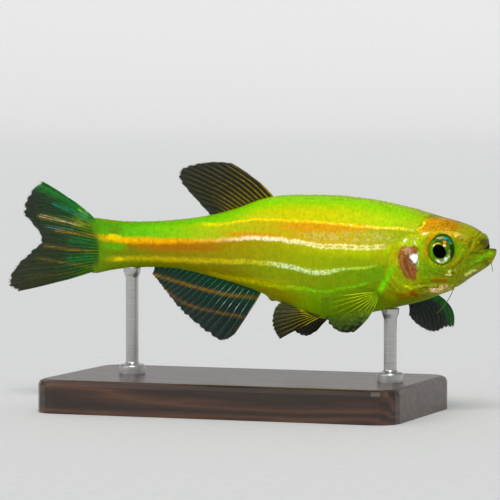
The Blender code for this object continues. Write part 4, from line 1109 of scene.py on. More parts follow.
def oval_reach(x, level, place, at_level, half_length, half_height, tilt=0):
    """0 in the middle of a tilted oval on the side view and 1 on its edge."""
    lean = math.radians(tilt)
    forward = (x - place) * math.cos(lean) + (level - at_level) * math.sin(lean)
    upward = (level - at_level) * math.cos(lean) - (x - place) * math.sin(lean)
    return np.hypot(forward / half_length, upward / half_height)


def paint_ovals(paint, x, level, groups, edge):
    for *size, colour, share in sum(groups.values(), []):
        paint = blend_paint(paint, colour, fade(oval_reach(x, level, *size), 1.15, edge) * share)
    return paint


def paint_lines(paint, x, level, groups):
    for width, colour, share, points in sum(groups.values(), []):
        near = hump(line_distance(x, level, points), width)
        paint = blend_paint(paint, colour, near * share * (0.85 + 0.15 * uneven(x, level, 0.4, 5)))
    return paint


def paint_shapes(paint, x, level, shapes):
    for softness, colour, share, outline in shapes.values():
        spots = even_curve(pairs(outline + outline[:2]))(np.linspace(0, 1, 5 * len(outline) // 2))
        inside = np.zeros(len(x), bool)
        for (x0, level0), (x1, level1) in zip(spots[:-1], spots[1:]):
            if level0 != level1:
                meets = x0 + (level - level0) * (x1 - x0) / (level1 - level0)
                inside ^= ((level0 > level) != (level1 > level)) & (x < meets)
        depth = np.where(inside, 1, -1) * line_distance(x, level, outline + outline[:2])
        paint = blend_paint(paint, colour, fade(depth, -softness, softness) * share)
    return paint


def plain_paint(count, colour):
    return np.tile(np.array(tint(*colour)[:3]), (count, 1))


def head_paint(x, level):
    """Colours of the head at points, and how far they cover the bands of the flank."""
    bent_x = x + 0.12 * uneven(x, level, 0.7, 1)
    bent_level = level + 0.12 * uneven(x, level, 0.7, 3)
    fine_x = x + 0.05 * uneven(x, level, 0.4, 6) + 0.02 * uneven(x, level, 0.15, 2)
    fine_level = level + 0.05 * uneven(x, level, 0.4, 7) + 0.02 * uneven(x, level, 0.15, 4)
    paint = plain_paint(len(x), HEAD_COLOUR)
    paint = paint_ovals(paint, bent_x, bent_level, HEAD_AREAS, 0.5)
    paint = paint_shapes(paint, fine_x, fine_level, HEAD_SHAPES)
    paint = paint_lines(paint, fine_x, fine_level, HEAD_LINES)
    paint = paint_ovals(paint, fine_x, fine_level, HEAD_SPOTS, 0.7)
    for place, at_level, radius in NOSTRILS:
        reach = np.hypot(x - place, level - at_level)
        paint = blend_paint(paint, (96, 92), 0.7 * fade(reach, radius * 1.2, radius * 0.5))
    paint = blend_paint(paint, (100, 110), fade(socket_reach(x, level), 1, 0.95))
    return paint, fade(x - paint_edge_at(level), -0.12, 0.2)


def speck_shares(x, level):
    shares = np.tile(np.array(SPECKS_ELSEWHERE), (len(x), 1))
    for *oval, dense in SPECK_AREAS:
        shares = shares + (np.array(dense) - shares) * fade(oval_reach(x, level, *oval), 1.2, 0.7)[:, None]
    return shares


def colour_layer(mesh, name, colours, fourth):
    values = join((colours, np.broadcast_to(fourth, len(colours))[:, None]), axis=1)
    mesh.attributes.new(name, "FLOAT_COLOR", "POINT").data.foreach_set("color", values.ravel())


paint, cover = head_paint(skin_x, skin_level)
inside_mouth = column >= RING
paint[inside_mouth] = tint(70, 52, 14)[:3]
cover[inside_mouth] = 1
colour_layer(skin.data, "head_paint", paint, cover)
colour_layer(skin.data, "head_specks", speck_shares(skin_x, skin_level), 1)
print("painted", int((cover > 0.5).sum()), "points of the head")

# %% The skin's finish
# The fish's finishes glow a little: painted light for its fluorescence, which also lightens its shaded side.
PAINTED_GLOW = 0.24               # strength of the fish's own light
# Noise scale and shift, colour and share of the pale, the dark and the warm specks
HEAD_SPECKS = [(7, 0, (232, 214, 130), 0.5), (6, 9, (60, 50), 0.6), (5, 21, (168, 106), 0.55)]


def glow(brush, shader, colour, strength):
    """A painted glow: the colour is also given off as light, as fluorescent fish give, and it lightens the
    shaded side.
    """
    for socket in ("Base Color", "Emission Color"):
        brush.feed(shader.inputs[socket], colour)
    shader.inputs["Emission Strength"].default_value = strength


def mottled(brush, colour, place, scale, low, high):
    """The colour made darker and lighter by noise, from low to high times its brightness."""
    return brush.shaded(colour, brush.between(brush.noise(place, scale, 4, 0.65), low, high))


def markings(brush):
    """The flank's markings in a finish's own tree."""
    flank = brush.tree.nodes.new("ShaderNodeGroup")
    flank.node_tree = colours
    return flank.outputs["Colour"]


def painted_finish(name, layer, mottle, strength, **sizes):
    """A finish that shows the colours stored on the points, with a painted glow."""
    made, brush, shader, (in_mm, _, _) = new_finish(name, **sizes)
    painted = brush.stored(layer)
    glow(brush, shader, mottled(brush, painted["Color"], in_mm, *mottle), strength)
    return made, brush, shader, painted


skin_finish, brush, shader, (in_mm, along, level) = new_finish(
    "danio skin", specular=0.04, roughness=0.4, coat_weight=0.07, coat_roughness=0.06)
painted = brush.stored("head_paint")
dense = brush.add("ShaderNodeSeparateColor", {0: brush.stored("head_specks")["Color"]}).outputs
hue = brush.ramp(brush.noise(in_mm, 2.4, 3, 0.6), [(0.34, (0.88, 1.06, 1, 1)), (0.5, (1, 1, 1, 1)),
                                                     (0.66, (1.1, 0.95, 1, 1))])
head = brush.mix(0.8, painted["Color"], hue, blend="MULTIPLY")
head = mottled(brush, head, in_mm, 4.6, 0.74, 1.26)
head = mottled(brush, head, in_mm, 1.6, 0.84, 1.16)
for number, (scale, shift, colour, share) in enumerate(HEAD_SPECKS):
    moved = brush.vector(in_mm, (shift, shift, 0), "ADD")
    least = brush.minus(0.75, brush.times(dense[number], 0.22))
    mask = brush.fade(brush.noise(moved, scale, 2, 0.6), least, brush.plus(least, 0.07))
    head = brush.lay(head, colour, mask, share)
glow(brush, shader, brush.mix(painted["Alpha"], markings(brush), head), PAINTED_GLOW)
brush.bumps(shader, brush.noise(in_mm, 9, 3), 0.25, 0.00004)
skin.data.materials.append(skin_finish)
print("skin finish ready")

# %% [markdown]
# ## Scales
#
# Hundreds of thin shields lie like roof tiles, free edge towards the tail. A Geometry Nodes tree
# lays them out flat on a staggered grid of columns and rows. numpy then rolls the flat sheet
# round the body, every scale a little raised at its free edge.

# %% One scale, flat
SCALE_FRONT = 0.62        # how far a scale reaches forward from its middle, in columns
SCALE_REAR = 0.86         # and how far back
SCALE_HALF_HEIGHT = 0.6   # in rows
SCALE_STEPS = 5
SCALE_LINES = 7
FRONT_SUNK = -0.02        # millimetres against the skin
REAR_RAISED = 0.032
SCALE_CROWN = 0.008       # how far its middle stands over its sides
SCALE_THICKNESS = 0.022


def flat_scale():
    """A shield of a few dozen faces, rounded behind and blunt in front, closed below."""
    points = []
    for step in np.linspace(0, 1, SCALE_STEPS):
        for line in np.linspace(-1, 1, SCALE_LINES):
            back = -SCALE_REAR * math.sqrt(max(0, 1 - 0.86 * abs(line) ** 2.2))
            along_scale = SCALE_FRONT * (1 - step) + back * step
            rise = FRONT_SUNK + (REAR_RAISED - FRONT_SUNK) * step
            points.append((along_scale, line * SCALE_HALF_HEIGHT, rise + SCALE_CROWN * (1 - line * line)))
    index = np.arange(len(points)).reshape(SCALE_STEPS, SCALE_LINES)
    faces = list(grid_faces(index, False))
    rim = list(index[0]) + list(index[1:, -1]) + list(index[-1, -2::-1]) + list(index[-2:0:-1, 0])
    low = []
    for i in rim:
        low.append(len(points))
        points.append((points[i][0], points[i][1], points[i][2] - SCALE_THICKNESS))
    for i in range(len(rim)):
        after = (i + 1) % len(rim)
        faces.append((rim[i], low[i], low[after], rim[after]))
    faces.append(tuple(reversed(low)))
    return points, faces


scale_points, scale_faces = flat_scale()
scale_shape = new_object("scale_shape", np.array(scale_points) / MM, scale_faces)
face_outwards(scale_shape)
print("one scale has", len(scale_faces), "faces")

# %% Roots of the scales
ROWS = 24                 # round the body
PITCH_AT = smooth_curve([-16, 0.6, -10, 0.78, 0, 0.98, 8, 1.08, 17, 0.95])
SCALES_START = -13.75


def column_places():
    places = [SCALES_START]
    while places[-1] < 17:
        places.append(places[-1] + float(PITCH_AT(places[-1])))
    return np.array(places)


column_x = column_places()
roots = [(number, row + 0.5 * (number % 2) - ROWS / 2, 0)
         for number in range(len(column_x)) for row in range(ROWS)]
print(len(column_x), "columns of", ROWS, "scales")

# %% A table of the skin round the body
TABLE_SHARES = np.linspace(0, 1, 121)
table_x = np.arange(TAIL_END + 0.1, 17.4, 0.1)


def half_section(x):
    """Way out, level and grid line at even shares of the way from back to belly."""
    out, at_level = body_section(np.array([[x]]), ring_angles(np.array([x])))
    steps = np.hypot(np.diff(out[0]), np.diff(at_level[0]))
    share = join(([0], np.cumsum(steps)))
    share /= share[-1]
    lines = np.arange(HALF_RING + 1)
    return [np.interp(TABLE_SHARES, share, value) for value in (out[0], at_level[0], lines)]


table = np.array([half_section(x) for x in table_x])
table_out, table_level, table_line = table[:, 0], table[:, 1], table[:, 2]
grid_x = np.repeat(table_x[:, None], len(TABLE_SHARES), axis=1)
surface = np.stack((grid_x, table_out, table_level), axis=-1)
round_step = np.gradient(surface, axis=1)
along_step = np.gradient(surface, axis=0)
table_normal = np.cross(round_step, along_step)
table_normal[:, [0, -1]] = table_normal[:, [1, -2]] * (1, 0, 1)
table_normal /= np.linalg.norm(table_normal, axis=-1, keepdims=True) + 1e-9
table_normal *= np.sign((table_normal * (surface - (0, 0, 0.2))).sum(axis=-1, keepdims=True) + 1e-9)
surface = surface + table_normal * relief(grid_x, table_out, table_level)[..., None]
print("table of", surface.shape[:2], "places on the skin")


def look_up(values, x, share):
    i = np.clip((x - table_x[0]) / 0.1, 0, len(table_x) - 1.001)
    j = np.clip(share * (len(TABLE_SHARES) - 1), 0, len(TABLE_SHARES) - 1.001)
    low_i, low_j = i.astype(int), j.astype(int)
    ti, tj = i - low_i, j - low_j
    if values.ndim == 3:
        ti, tj = ti[:, None], tj[:, None]
    near = values[low_i, low_j] * (1 - tj) + values[low_i, low_j + 1] * tj
    far = values[low_i + 1, low_j] * (1 - tj) + values[low_i + 1, low_j + 1] * tj
    return near * (1 - ti) + far * ti


# %% Keep the scales that lie on the flank
def on_flank(place, share):
    """Whether a root is behind the gills and clear of the fins' roots."""
    middle = look_up(surface, place, share)
    x, out, at_level = middle[:, 0], middle[:, 1], middle[:, 2]
    behind = x < paint_edge_at(at_level) - 0.25
    lobe = np.hypot((x - LOBE[0]) / 1.35, (at_level - LOBE[1]) / 1) > 1
    vent = (np.abs(x - VENT_X) > 0.75) | (out > 0.7) | (at_level > 0)
    return behind & lobe & vent


root_points = np.array(roots)
root_share = np.abs(root_points[:, 1]) / (ROWS / 2)
keep = on_flank(column_x[root_points[:, 0].astype(int)], np.minimum(root_share, 1))
root_points = root_points[keep]
root_cloud = new_object("scale_roots", root_points / MM, [])
print("scales kept:", len(root_points))

# %% [markdown]
# The tree sets one scale on each root and takes its sizes as named inputs. It stores each
# scale's root before the copies are made real, because the roll round the body needs it.

# %% The tree "scale tiles"
def new_tree(name, inputs):
    tree = bpy.data.node_groups.new(name, "GeometryNodeTree")
    tree.interface.new_socket(name="Geometry", in_out="INPUT", socket_type="NodeSocketGeometry")
    tree.interface.new_socket(name="Geometry", in_out="OUTPUT", socket_type="NodeSocketGeometry")
    for label, kind in inputs:
        tree.interface.new_socket(name=label, in_out="INPUT", socket_type="NodeSocket" + kind)
    return tree, Brush(tree), tree.nodes.new("NodeGroupInput").outputs, tree.nodes.new("NodeGroupOutput")


def run_tree(thing, tree, values):
    """Turns what the tree makes of an object into the object's plain mesh."""
    modifier = thing.modifiers.new(tree.name, "NODES")
    modifier.node_group = tree
    for item in tree.interface.items_tree:
        if item.in_out == "INPUT" and item.name in values:
            modifier[item.identifier] = values[item.name]
    bpy.context.view_layer.update()
    seen = thing.evaluated_get(bpy.context.evaluated_depsgraph_get())
    made = bpy.data.meshes.new_from_object(seen)
    thing.modifiers.clear()
    thing.data = made
    return thing


tiles, knit, given, result = new_tree("scale tiles", [
    ("Scale shape", "Object"), ("Size spread", "Float"), ("Turn spread", "Float"), ("Seed", "Int"),
    ("Finish", "Material")])
shape_of = knit.add("GeometryNodeObjectInfo", {"Object": given["Scale shape"]})
smallest = knit.minus(1, given["Size spread"])
largest = knit.plus(1, given["Size spread"])
size = knit.add("FunctionNodeRandomValue", {2: smallest, 3: largest, "Seed": given["Seed"]},
                data_type="FLOAT").outputs[1]
least_turn = knit.times(given["Turn spread"], -1)
lean = knit.add("FunctionNodeRandomValue", {2: least_turn, 3: given["Turn spread"], "Seed": given["Seed"]},
                data_type="FLOAT").outputs[1]
lean = knit.make("ShaderNodeCombineXYZ", {2: lean})
place = knit.make("GeometryNodeInputPosition", {})
marked = knit.make("GeometryNodeStoreNamedAttribute", {"Geometry": given["Geometry"], "Name": "root",
                                                      "Value": place}, data_type="FLOAT_VECTOR")
laid = knit.make("GeometryNodeInstanceOnPoints", {"Points": marked, "Instance": shape_of.outputs["Geometry"],
                                                 "Rotation": lean, "Scale": size})
real = knit.make("GeometryNodeRealizeInstances", {"Geometry": laid})
done = knit.make("GeometryNodeSetMaterial", {"Geometry": real, "Material": given["Finish"]})
knit.feed(result.inputs[0], done)
print("tree", tiles.name, "has", len(tiles.nodes), "nodes")

# %% The scales' finish
scale_finish, brush, shader, (in_mm, along, level) = new_finish(
    "danio scale", specular=0.04, roughness=0.38, coat_weight=0.08, coat_roughness=0.06)
glow(brush, shader, brush.lay(markings(brush), (96, 110), brush.stored("rim")["Fac"], 0.09), PAINTED_GLOW)
brush.bumps(shader, brush.noise(in_mm, 12, 2), 0.2, 0.00003)

# %% Lay the scales out and roll them round the body
scales = run_tree(root_cloud, tiles, {"Scale shape": scale_shape, "Size spread": 0.05, "Turn spread": 0.05,
                                      "Seed": 7, "Finish": scale_finish})
bpy.data.objects.remove(scale_shape)
flat = read_points(scales.data)
root = np.zeros(len(flat) * 3)
scales.data.attributes["root"].data.foreach_get("vector", root)
root = root.reshape(-1, 3)


def roll(flat):
    """Points of the flat sheet as places along the axis and signed shares round the body."""
    place = np.interp(flat[:, 0], np.arange(len(column_x)), column_x)
    place = place + np.minimum(flat[:, 0], 0) * (column_x[1] - column_x[0])
    way_round = flat[:, 1] / (ROWS / 2)
    way_round = np.where(way_round > 1, way_round - 2, way_round)
    return place, np.where(way_round < -1, way_round + 2, way_round)


place, way_round = roll(flat)
share = np.abs(way_round)
side = np.where(way_round < 0, 1, -1)
on_skin = look_up(surface, place, share)
away = look_up(table_normal, place, share)
rolled = on_skin + away * flat[:, 2:3]
rolled = placed(rolled[:, 0], rolled[:, 1] * side, rolled[:, 2])
scales.data.vertices.foreach_set("co", (rolled * MM).ravel())
offset = flat - root
rim = fade(np.hypot(offset[:, 0] / SCALE_REAR, offset[:, 1] / SCALE_HALF_HEIGHT), 0.6, 1.05)
rim = rim * (offset[:, 0] < 0.1)
store_numbers(scales.data, "rim", rim)
scales.name = "danio_scales"
scales.data.name = "danio_scales"
scales.data.update()
print("scales:", len(scales.data.polygons), "faces")

# %% The scales' unwrap lies on the skin's
line_here = look_up(table_line, place, share)
across = map_across(place)
up = np.where(side < 0, line_here, RING - line_here) / RING * MAP_TOP
root_place, root_round = roll(root)
root_line = look_up(table_line, root_place, np.abs(root_round))
root_up = np.where(root_round > 0, root_line, RING - root_line) / RING * MAP_TOP
corners, face_of = corner_points(scales.data)
per_scale = len(scale_faces)
top_faces = (SCALE_STEPS - 1) * (SCALE_LINES - 1)
is_top = (face_of % per_scale) < top_faces
near_root = np.abs(up[corners] - root_up[corners]) < 0.2
small = 0.004
u = np.where(is_top, across[corners], map_across(root_place[corners]) + small * offset[corners, 0])
v = np.where(is_top & near_root, up[corners], root_up[corners] + small * offset[corners, 1])
write_map(scales.data, u, v)
scales.data.shade_smooth()
scales.data.set_sharp_from_angle(angle=math.radians(50))
print("unwraps of the scales:", [layer.name for layer in scales.data.uv_layers])

# %% [markdown]
# ## Fins
#
# A fin is a film stretched between jointed rays that fork towards the edge. The film is one thin
# closed sheet, pleated between the rays, and the rays are lines that a Geometry Nodes tree turns
# into tapered rods. Both follow one rule: bowed paths from a root line to an edge line.

# %% How a fin is described
FINS = {
    "dorsal_fin": dict(root=[(2.35, 0, 4.45), (-0.1, 0, 3.65), (-2.6, 0, 2.6)], edge=[(-2, 0, 7.85),
     (-3.4, 0, 7.95), (-4.8, 0, 7.85), (-6, 0, 7.6), (-6.9, 0, 7.2), (-7.05, 0, 6.4), (-6.3, 0, 5.4),
     (-5.2, 0, 4.3), (-3.9, 0, 2.95)], bow=[(0.15, 0, 0.25)] * 2, rays=14, thick=0.085),
    "anal_fin": dict(root=[(1.05, 0, -3.45), (-2, 0, -2.5), (-5.5, 0, -1.7), (-9.45, 0, -1.4)],
     edge=[(-1.7, 0, -7.7), (-2.6, 0, -8.28), (-3.4, 0, -8.15), (-4.4, 0, -7.55), (-5.3, 0, -6.9),
     (-6.2, 0, -6.2), (-7.1, 0, -5.4), (-7.9, 0, -4.5), (-8.6, 0, -3.65), (-9.2, 0, -2.9),
     (-9.7, 0, -2.35)], bow=[(0.1, 0, 0)] * 2, rays=20, thick=0.06, lean=0.64, forks=[(0.4, 0.22),
     (0.7, 0.11)]),
    "caudal_fin": dict(root=[(-15.3, 0, 2.45), (-14.3, 0, 0.1), (-14.9, 0, -2)], edge=[(-20.9, 0, 5.98),
     (-22.2, 0, 4.85), (-22.85, 0, 3.1), (-22, 0, 2.1), (-21, 0, 0.55), (-22.3, 0, -0.75),
     (-23.8, 0, -2.1), (-24.45, 0, -3.6), (-23.4, 0, -4.3)], bow=[(0, 0, 0.24), (0, 0, 0.1), (0, 0, 0),
     (0, 0, -0.15)], rays=21, thick=0.075),
    "pectoral_fin_right": dict(root=[(12.85, -3.2, -3.3), (12.9, -2.95, -3.75)], edge=[(7.8, -3.75, -3.95),
     (7.8, -3.8, -4.9), (8.3, -3.75, -5.8), (8.9, -3.6, -6.6), (9.7, -3.4, -7), (10.7, -3.2, -6.95)],
     bow=[(0, 0.2, 0), (0, 0.2, 0), (0.1, 0.15, -0.05), (0.3, 0.1, -0.15)], rays=9, thick=0.05,
     forks=[(0.6, 0.2)]),
    "pectoral_fin_left": dict(root=[(13.5, 3.3, -3.05), (12.9, 3.3, -3.55)], edge=[(17.4, 5.2, -6.9),
     (16.6, 5.3, -6.95), (15.8, 5.3, -7.35), (15, 5.2, -7.3), (14, 5, -6.7), (13.3, 4.9, -5.9)],
     bow=[(1.2, 1, 0.45), (0.6, 0.6, 0.2), (0.25, 0.4, 0)], rays=12, thick=0.07),
    "pelvic_fin_right": dict(root=[(7.1, -1.4, -5.7), (5.6, -1.5, -5.3)], edge=[(3.5, -2.5, -7.8),
     (3, -2.5, -7), (2.8, -2.45, -6.15), (2.95, -2.2, -5.1), (3.5, -1.9, -4.4)], rays=9, thick=0.055),
    "pelvic_fin_left": dict(root=[(7.1, 1.4, -5.7), (6.2, 1.5, -5.5)], edge=[(5.3, 2.6, -7.35),
     (4.3, 2.7, -7.85), (3.4, 2.6, -7.6), (2.8, 2.5, -7), (3.3, 2.3, -6.2)], rays=9, thick=0.055),
}


FORKS = [(0.36, 0.23), (0.62, 0.11)]    # where a ray forks, and how far the branches part, in rays


class FinSheet:
    """Places on a fin: share runs from first to last ray, reach from root to edge."""

    def __init__(self, root, edge, rays, thick, bow=((0, 0, 0), (0, 0, 0)), lean=1, forks=FORKS):
        self.root, self.edge, self.bow = even_curve(root), even_curve(edge), even_curve(bow)
        self.rays, self.thick, self.forks = rays, thick, forks
        self.lean = lean        # under 1, the rays in the middle slope further back

    def place(self, share, reach):
        share = np.clip(np.asarray(share, float), 0, 1)
        reach = np.asarray(reach, float)[..., None]
        start = self.root(share)
        onward = self.edge(share ** self.lean) - start
        return start + onward * reach + self.bow(share) * 4 * reach * (1 - reach)

    def normal(self, share, reach):
        step = 0.01
        before, after = np.maximum(share - step, 0), np.minimum(share + step, 1)
        across = self.place(after, reach) - self.place(before, reach)
        onward = self.place(share, reach + step) - self.place(share, reach - step)
        normal = np.cross(across, onward)
        return normal / (np.linalg.norm(normal, axis=-1, keepdims=True) + 1e-9)


sheets = {name: FinSheet(**shape) for name, shape in FINS.items()}
print("fins:", ", ".join(sheets))

# %% [markdown]
# The fins' colours are painted on their points, as on the head. They change from root to edge and
# from the first ray to the last. The anal fin has two orange bands across its rays, and the
# cream stripe runs on into the tail.

# %% Fin colours of film and rays at root, middle and edge; the film's opacity at root and edge
# rear is the colour towards the last ray
FIN_COLOURS = {
    "dorsal_fin": dict(film=[(50, 48), (22, 22), (14, 16, 4)], rays=[(156, 134), (120, 104), (56, 58, 12)],
     rear=(26, 34, 10), opacity=(0.96, 0.78)),
    "anal_fin": dict(film=[(20, 70, 36), (6, 34, 26), (6, 16, 12)], rays=[(40, 146, 84), (14, 140, 110),
     (34, 84, 68)], rear=(20, 48, 24), opacity=(0.96, 0.82)),
    "caudal_fin": dict(film=[(34, 84, 4), (10, 58, 24), (8, 24, 10)], rays=[(60, 116), (38, 92, 26),
     (40, 54, 24)], rear=(46, 46, 12), opacity=(0.97, 0.8)),
    "pectoral_fin_right": dict(film=[(70, 90), (92, 120), (40, 60, 6)], rays=[(140, 186), (210, 222, 20),
     (80, 104, 10)], rear=(110, 150, 4), opacity=(0.02, 0.12)),
    "pectoral_fin_left": dict(film=[(16, 50, 10), (12, 24, 14), (10, 14, 10)], rays=[(30, 90, 24),
     (34, 62, 40), (36, 48, 40)], rear=(20, 28, 20), opacity=(0.92, 0.8)),
    "pelvic_fin_right": dict(film=[(60, 60), (24, 24), (14, 14, 2)], rays=[(196, 190), (160, 146, 4),
     (70, 70, 20)], rear=(60, 66, 16), opacity=(0.95, 0.86)),
    "pelvic_fin_left": dict(film=[(60, 60, 4), (36, 34, 12), (26, 24, 10)], rays=[(90, 90, 16),
     (60, 58, 24), (44, 40, 22)], rear=(34, 32, 14), opacity=(0.94, 0.86)),
}
# Bands: half width, colour, share on the rays, share on the film, points
FIN_BANDS = {
    "anal_fin": [(0.15, (178, 126), 0.95, 0.45, [-9.6, -2.4, -7.44, -2.95, -5.2, -3.51, -2.49, -4.06,
     0.6, -4.3]), (0.13, (160, 112), 0.9, 0.35, [-8.4, -3.8, -7.08, -4.68, -5.53, -5.28, -4.14, -5.55,
     -2.35, -5.86, -0.5, -6.1]), (0.3, (216, 230, 214), 0.9, 0, [-3, -4.8, -1.2, -5.2, 0.2, -5.3]), (0.28,
     (180, 220, 200), 0.75, 0, [-3.2, -3.6, -1.6, -3.7, -0.2, -3.8]), (0.2, (150, 150), 0.6, 0.3, [1, -4,
     0, -5.6, -1.4, -7.4])],
    "caudal_fin": [(0.15, (172, 130, 4), 0.9, 0.25, [-14.6, 1, -15.9, 1.06, -17.2, 1.19, -19.4, 1.4]),
     (0.13, (152, 116), 0.9, 0.3, [-14.9, -0.47, -17.5, -0.3, -20.6, 0]), (0.12, (134, 104), 0.85, 0.25,
     [-15.5, -1.9, -17.4, -1.7, -21.4, -1.14]), (0.13, (96, 82), 0.6, 0.2, [-16.4, -2.4, -19.5, -2.6,
     -22.4, -3]), (0.5, (116, 138), 0.8, 0.75, [-14.8, 1.9, -15.8, 2, -17.2, 2.3]), (0.2,
     (212, 192, 112), 0.8, 0.2, [-17, 2.05, -19, 2.4, -21, 2.75]), (0.14, (0, 176, 146), 0.85, 0.3,
     [-16.4, 2.65, -17.2, 3, -19.6, 3.87]), (0.13, (120, 170, 162), 0.6, 0.12, [-17.8, 1.45, -20.4, 1.77]),
     (0.6, (24, 134, 36), 0.8, 0.7, [-15.2, 2.5, -17.1, 3.6, -19, 4.8, -21.2, 5.7]), (0.15,
     (150, 200, 90), 0.8, 0.4, [-16.3, 3.1, -17, 3.3]), (0.35, (20, 116, 44), 0.7, 0.45, [-15.2, 0.45,
     -16.6, 0.5, -18, 0.6]), (0.35, (20, 116, 44), 0.7, 0.45, [-15.2, -0.8, -16.6, -1.1, -18, -1.3])],
    "dorsal_fin": [(0.35, (170, 150), 0.5, 0, [1.6, 4.7, 0, 6, -1.8, 7.6]), (0.3, (170, 136, 20), 0.5, 0,
     [0.2, 5.6, -1.4, 5.2, -2.6, 4.6])],
    # The near pectoral's dark band below the belly is painted shade, like its dark film there.
    "pectoral_fin_right": [(1.2, (14, 20, 8), 0.8, 1, [7.8, -6.9, 9.2, -7.2, 11.6, -6.5])],
    "pectoral_fin_left": [(0.35, (10, 120, 30), 0.85, 0.7, [14.4, -3.2, 16, -4.3, 16.9, -5.6,
     17.3, -6.8])],
}


def fin_paint(name, share, reach, places, part):
    """Colours of a fin's film or rays at its points."""
    shades = FIN_COLOURS[name]
    tones = np.array([tint(*colour)[:3] for colour in shades[part]])
    paint = np.stack([np.interp(reach, (0.06, 0.4, 0.95), tones[:, i]) for i in range(3)], axis=1)
    to_rear = (share * fade(reach, 0, 0.6)) ** 1.5 * 0.8
    paint = blend_paint(paint, shades["rear"], to_rear)
    for width, colour, on_rays, on_film, points in FIN_BANDS.get(name, []):
        near = hump(line_distance(places[:, 0], places[:, 2], points), width)
        near = np.clip(near * (0.95 + 0.3 * uneven(places[:, 0], places[:, 2], 0.5, 13)), 0, 1)
        paint = blend_paint(paint, colour, near * (on_rays if part == "rays" else on_film))
    return paint


# %% The film of a fin
# The near pectoral's film is dark and nearly opaque below the belly: painted shade for the unlit dark seen
# through the clear fin.
CLEAR_ABOVE = (0.5, 0.2)        # the near pectoral's film is clear on the belly and dark below it
FILM_STEPS = 34           # points from root to edge
FILM_PER_RAY = 6          # points from ray to ray
FILM_THICK = (0.035, 0.014)     # half thickness at the root and at the edge
PLEAT = 0.035             # how far the film swings out between the rays
NOTCH = 0.014             # how far its edge is cut back there, as a share of the ray


def film_mesh(name, sheet):
    """One closed sheet, pleated between the rays and cut back a little there."""
    across = (sheet.rays - 1) * FILM_PER_RAY + 1
    share, reach = np.meshgrid(np.linspace(0, 1, across), np.linspace(0, 1, FILM_STEPS), indexing="ij")
    between = np.sin(math.pi * share * (sheet.rays - 1)) ** 2
    fray = 0.02 * np.sin(share * 61) + 0.012 * np.sin(share * 143 + 1)
    length = 1 - (NOTCH * between + 0.012 + 0.4 * fray)
    place = sheet.place(share, reach * length)
    normal = sheet.normal(share, reach * length)
    half = (FILM_THICK[0] + (FILM_THICK[1] - FILM_THICK[0]) * reach)[..., None]
    fold = (PLEAT * np.sin(2 * math.pi * share * (sheet.rays - 1)) * fade(reach, 0, 0.15))[..., None]
    front = place + normal * (fold + half)
    back = place + normal * (fold - half)
    points = join((front.reshape(-1, 3), back.reshape(-1, 3)))
    index = np.arange(share.size).reshape(share.shape)
    other = index + index.size
    faces = list(grid_faces(index, False)) + list(grid_faces(other, False)[:, ::-1])
    loop = list(index[:, 0]) + list(index[-1, 1:]) + list(index[-2::-1, -1]) + list(index[0, -2:0:-1])
    for i, here in enumerate(loop):
        after = loop[(i + 1) % len(loop)]
        faces.append((here, after, after + index.size, here + index.size))
    thing = new_object(name, placed(*points.T), faces, film_finish)
    face_outwards(thing)
    double_share = np.tile(share.ravel(), 2)
    double_reach = np.tile((reach * length).ravel(), 2)
    paint = fin_paint(name, double_share, double_reach, points, "film")
    opacity = np.interp(double_reach, (0.1, 1), FIN_COLOURS[name]["opacity"])
    # painted shade: dark and nearly opaque where the fin hangs below the belly
    if name == "pectoral_fin_right":
        above = points[:, 2] - bottom_at(points[:, 0])
        opacity = opacity + (0.92 - opacity) * fade(above, *CLEAR_ABOVE)
    colour_layer(thing.data, "fin_paint", paint, opacity)
    corners, _ = corner_points(thing.data)
    u = (double_share[corners] * 0.47 + 0.015) + 0.5 * (corners >= index.size)
    write_map(thing.data, u, np.tile(reach.ravel(), 2)[corners] * 0.97 + 0.015)
    return thing


film_finish, brush, shader, painted = painted_finish(
    "fin film", "fin_paint", (4, 0.55, 1.45), 0.1, specular=0.08, roughness=0.4, coat_weight=0.06,
    coat_roughness=0.1)
brush.feed(shader.inputs["Alpha"], painted["Alpha"])
films = {name: film_mesh(name, sheet) for name, sheet in sheets.items()}
print("films:", sum(len(film.data.polygons) for film in films.values()), "faces")

# %% [markdown]
# A ray is a chain of short bony joints that forks twice, each branch thinner than its stem. It is
# drawn as mesh edges with a thickness on each point, which the tree turns into rods.

# %% The tree "fin rays"
ray_tree, knit, given, result = new_tree("fin rays", [("Sides", "Int"), ("Finish", "Material")])
lines = knit.make("GeometryNodeMeshToCurve", {0: given["Geometry"]})
circle = knit.make("GeometryNodeCurvePrimitiveCircle", {"Resolution": given["Sides"], "Radius": 1})
width = knit.make("GeometryNodeInputNamedAttribute", {"Name": "thick"}, data_type="FLOAT")
tubes = knit.make("GeometryNodeCurveToMesh", {"Curve": lines, "Profile Curve": circle, "Scale": width,
                                             "Fill Caps": True})
real = knit.make("GeometryNodeRealizeInstances", {"Geometry": tubes})
done = knit.make("GeometryNodeSetMaterial", {"Geometry": real, "Material": given["Finish"]})
knit.feed(result.inputs[0], done)
print("tree", ray_tree.name, "has", len(ray_tree.nodes), "nodes")

# %% Rods along paths
def rods(name, points, edges, numbers, sides, finish, paint=None):
    """Rods along mesh edges; numbers are each point's thickness, lane on the map and reach."""
    thing = new_object(name, placed(*np.array(points).T), [], edges=edges)
    for label, values in zip(("thick", "lane", "reach"), numbers):
        store_numbers(thing.data, label, values)
    if paint is not None:
        colour_layer(thing.data, "fin_paint", paint, 1)
    run_tree(thing, ray_tree, {"Sides": sides, "Finish": finish})
    thing.data.name = name
    thing.data.shade_smooth()
    corners, _ = corner_points(thing.data)
    lane = read_numbers(thing.data, "lane")[corners]
    across = (lane + 0.1 + 0.8 * (corners % sides) / (sides - 1)) / (lane.max() + 1)
    write_map(thing.data, across, 0.01 + 0.98 * read_numbers(thing.data, "reach")[corners])
    return thing


